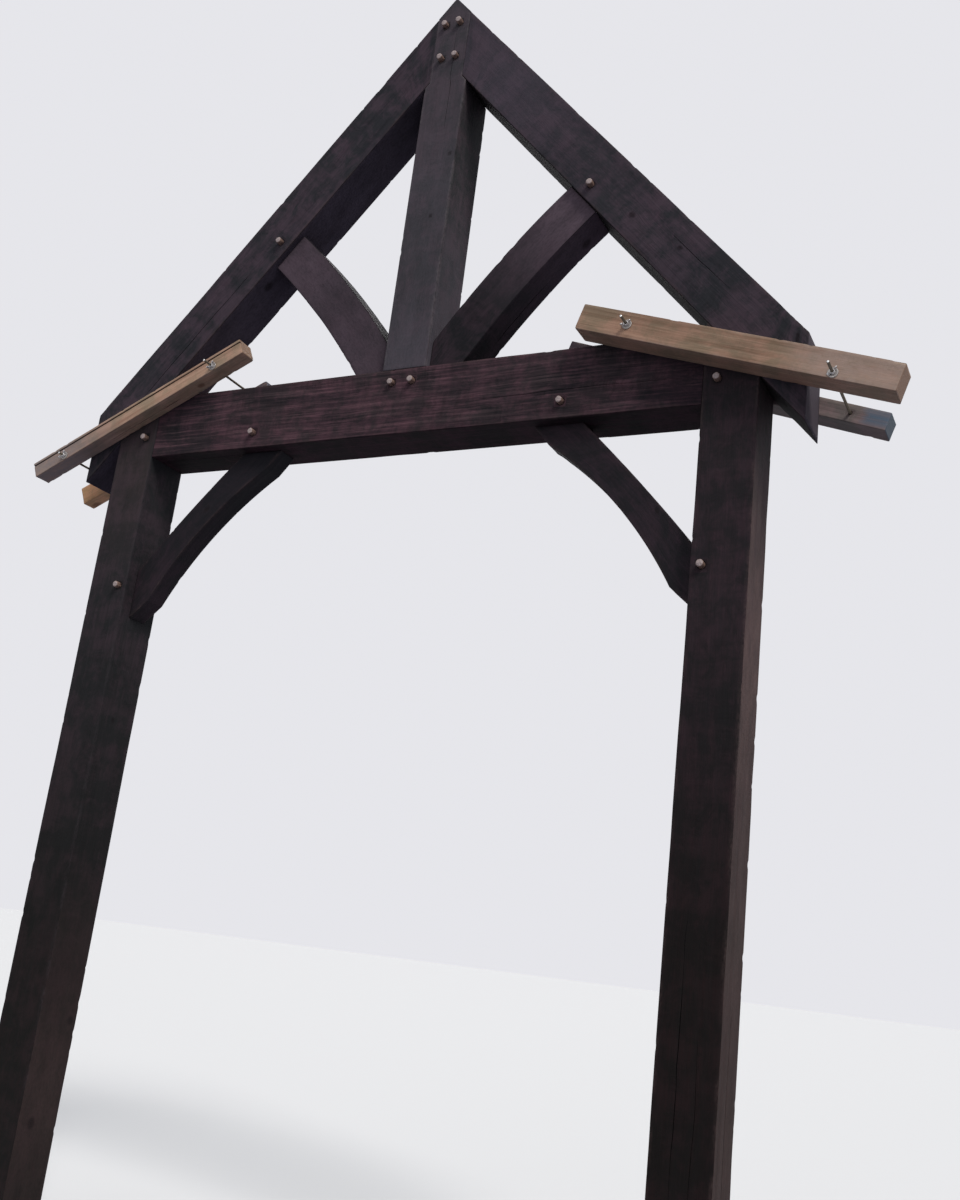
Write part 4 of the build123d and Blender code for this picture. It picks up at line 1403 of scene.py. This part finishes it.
def place_in_scene(name, data):
    """An object of some data, linked into the scene."""
    holder = bpy.data.objects.new(name, data)
    bpy.context.scene.collection.objects.link(holder)
    return holder


def make_stage():
    """A wide floor that looks pale to the camera and lights the underside softly, as bare ground does."""
    size, drop = 60.0, -0.0005
    mesh = bpy.data.meshes.new("floor")
    corners = [(-size, -size, drop), (size, -size, drop), (size, size, drop), (-size, size, drop)]
    mesh.from_pydata(corners, [], [(0, 1, 2, 3)])
    floor = place_in_scene("floor", mesh)
    material, nodes, shader = start_material("pale_floor")
    color = nodes.mix(seen_plainly(nodes), shade(118, 120, 136), shade(200, 198, 195))
    nodes.feed(shader, {"Base Color": color, "Roughness": 0.9, "Specular IOR Level": 0.1})
    floor.data.materials.append(material)


def make_light():
    """An overcast sky: a pale world, a broad lamp high on the right, and weaker ones before and behind."""
    world = bpy.data.worlds.new("overcast")
    bpy.context.scene.world = world
    world.use_nodes = True
    nodes = Nodes(world.node_tree)
    color = nodes.mix(seen_plainly(nodes), shade(222, 228, 240), shade(247, 247, 252))
    nodes.feed(world.node_tree.nodes["Background"], {"Color": color, "Strength": 0.85})
    for name, way, strength, degrees in LAMPS:
        lamp = bpy.data.lights.new(name, "SUN")
        lamp.energy = strength
        lamp.angle = math.radians(degrees)
        way = np.array(way) / np.linalg.norm(way)
        place_in_scene(name, lamp).matrix_world = facing(-LAMP_REACH * way, way, (0, 0, 1))


def facing(place, way, upward):
    """A frame at a place that looks along a way: its -Z is the way, and its Y leans to upward."""
    right = np.cross(way, upward)
    right /= np.linalg.norm(right)
    axes = np.stack([right, np.cross(right, way), -way, place], -1)
    return Matrix([*axes.tolist(), (0, 0, 0, 1)])


def make_camera():
    """The photograph's camera: place, heading, tilt and lean as solved from the bent's own edges."""
    flat = math.cos(TILT)
    way = np.array((-math.sin(HEADING) * flat, math.cos(HEADING) * flat, math.sin(TILT)))
    level = np.array((math.cos(HEADING), math.sin(HEADING), 0.0))
    up = np.cross(level, way) * math.cos(LEAN) - level * math.sin(LEAN)
    lens = bpy.data.cameras.new("camera")
    lens.sensor_width = SENSOR
    lens.lens = FOCAL_OVER_HEIGHT * SENSOR
    lens.clip_end = 300
    holder = place_in_scene("camera", lens)
    holder.matrix_world = facing(CAMERA_PLACE, way, up)
    bpy.context.scene.camera = holder


make_camera()
woods = make_woods()
metals = {
    "nut": zinc("bright_zinc", (222, 220, 218), (168, 165, 163), 0.6),
    "washer": zinc("weathered_zinc", (160, 154, 148), (118, 112, 108), 0.5),
    "rod": zinc("dulled_rod", (104, 92, 76), (70, 62, 52), 0.4, cut=(232, 230, 226)),
}
make_posts(woods)
make_tie(woods["tie"])
make_king_post(woods["king"])
make_rafters(woods["rafter"])
make_struts(woods["strut"])
make_braces(woods["brace"])
make_pegs(peg_wood())
make_clamps(woods, metals)
make_stage()
make_light()
bpy.context.scene.view_settings.view_transform = "Standard"
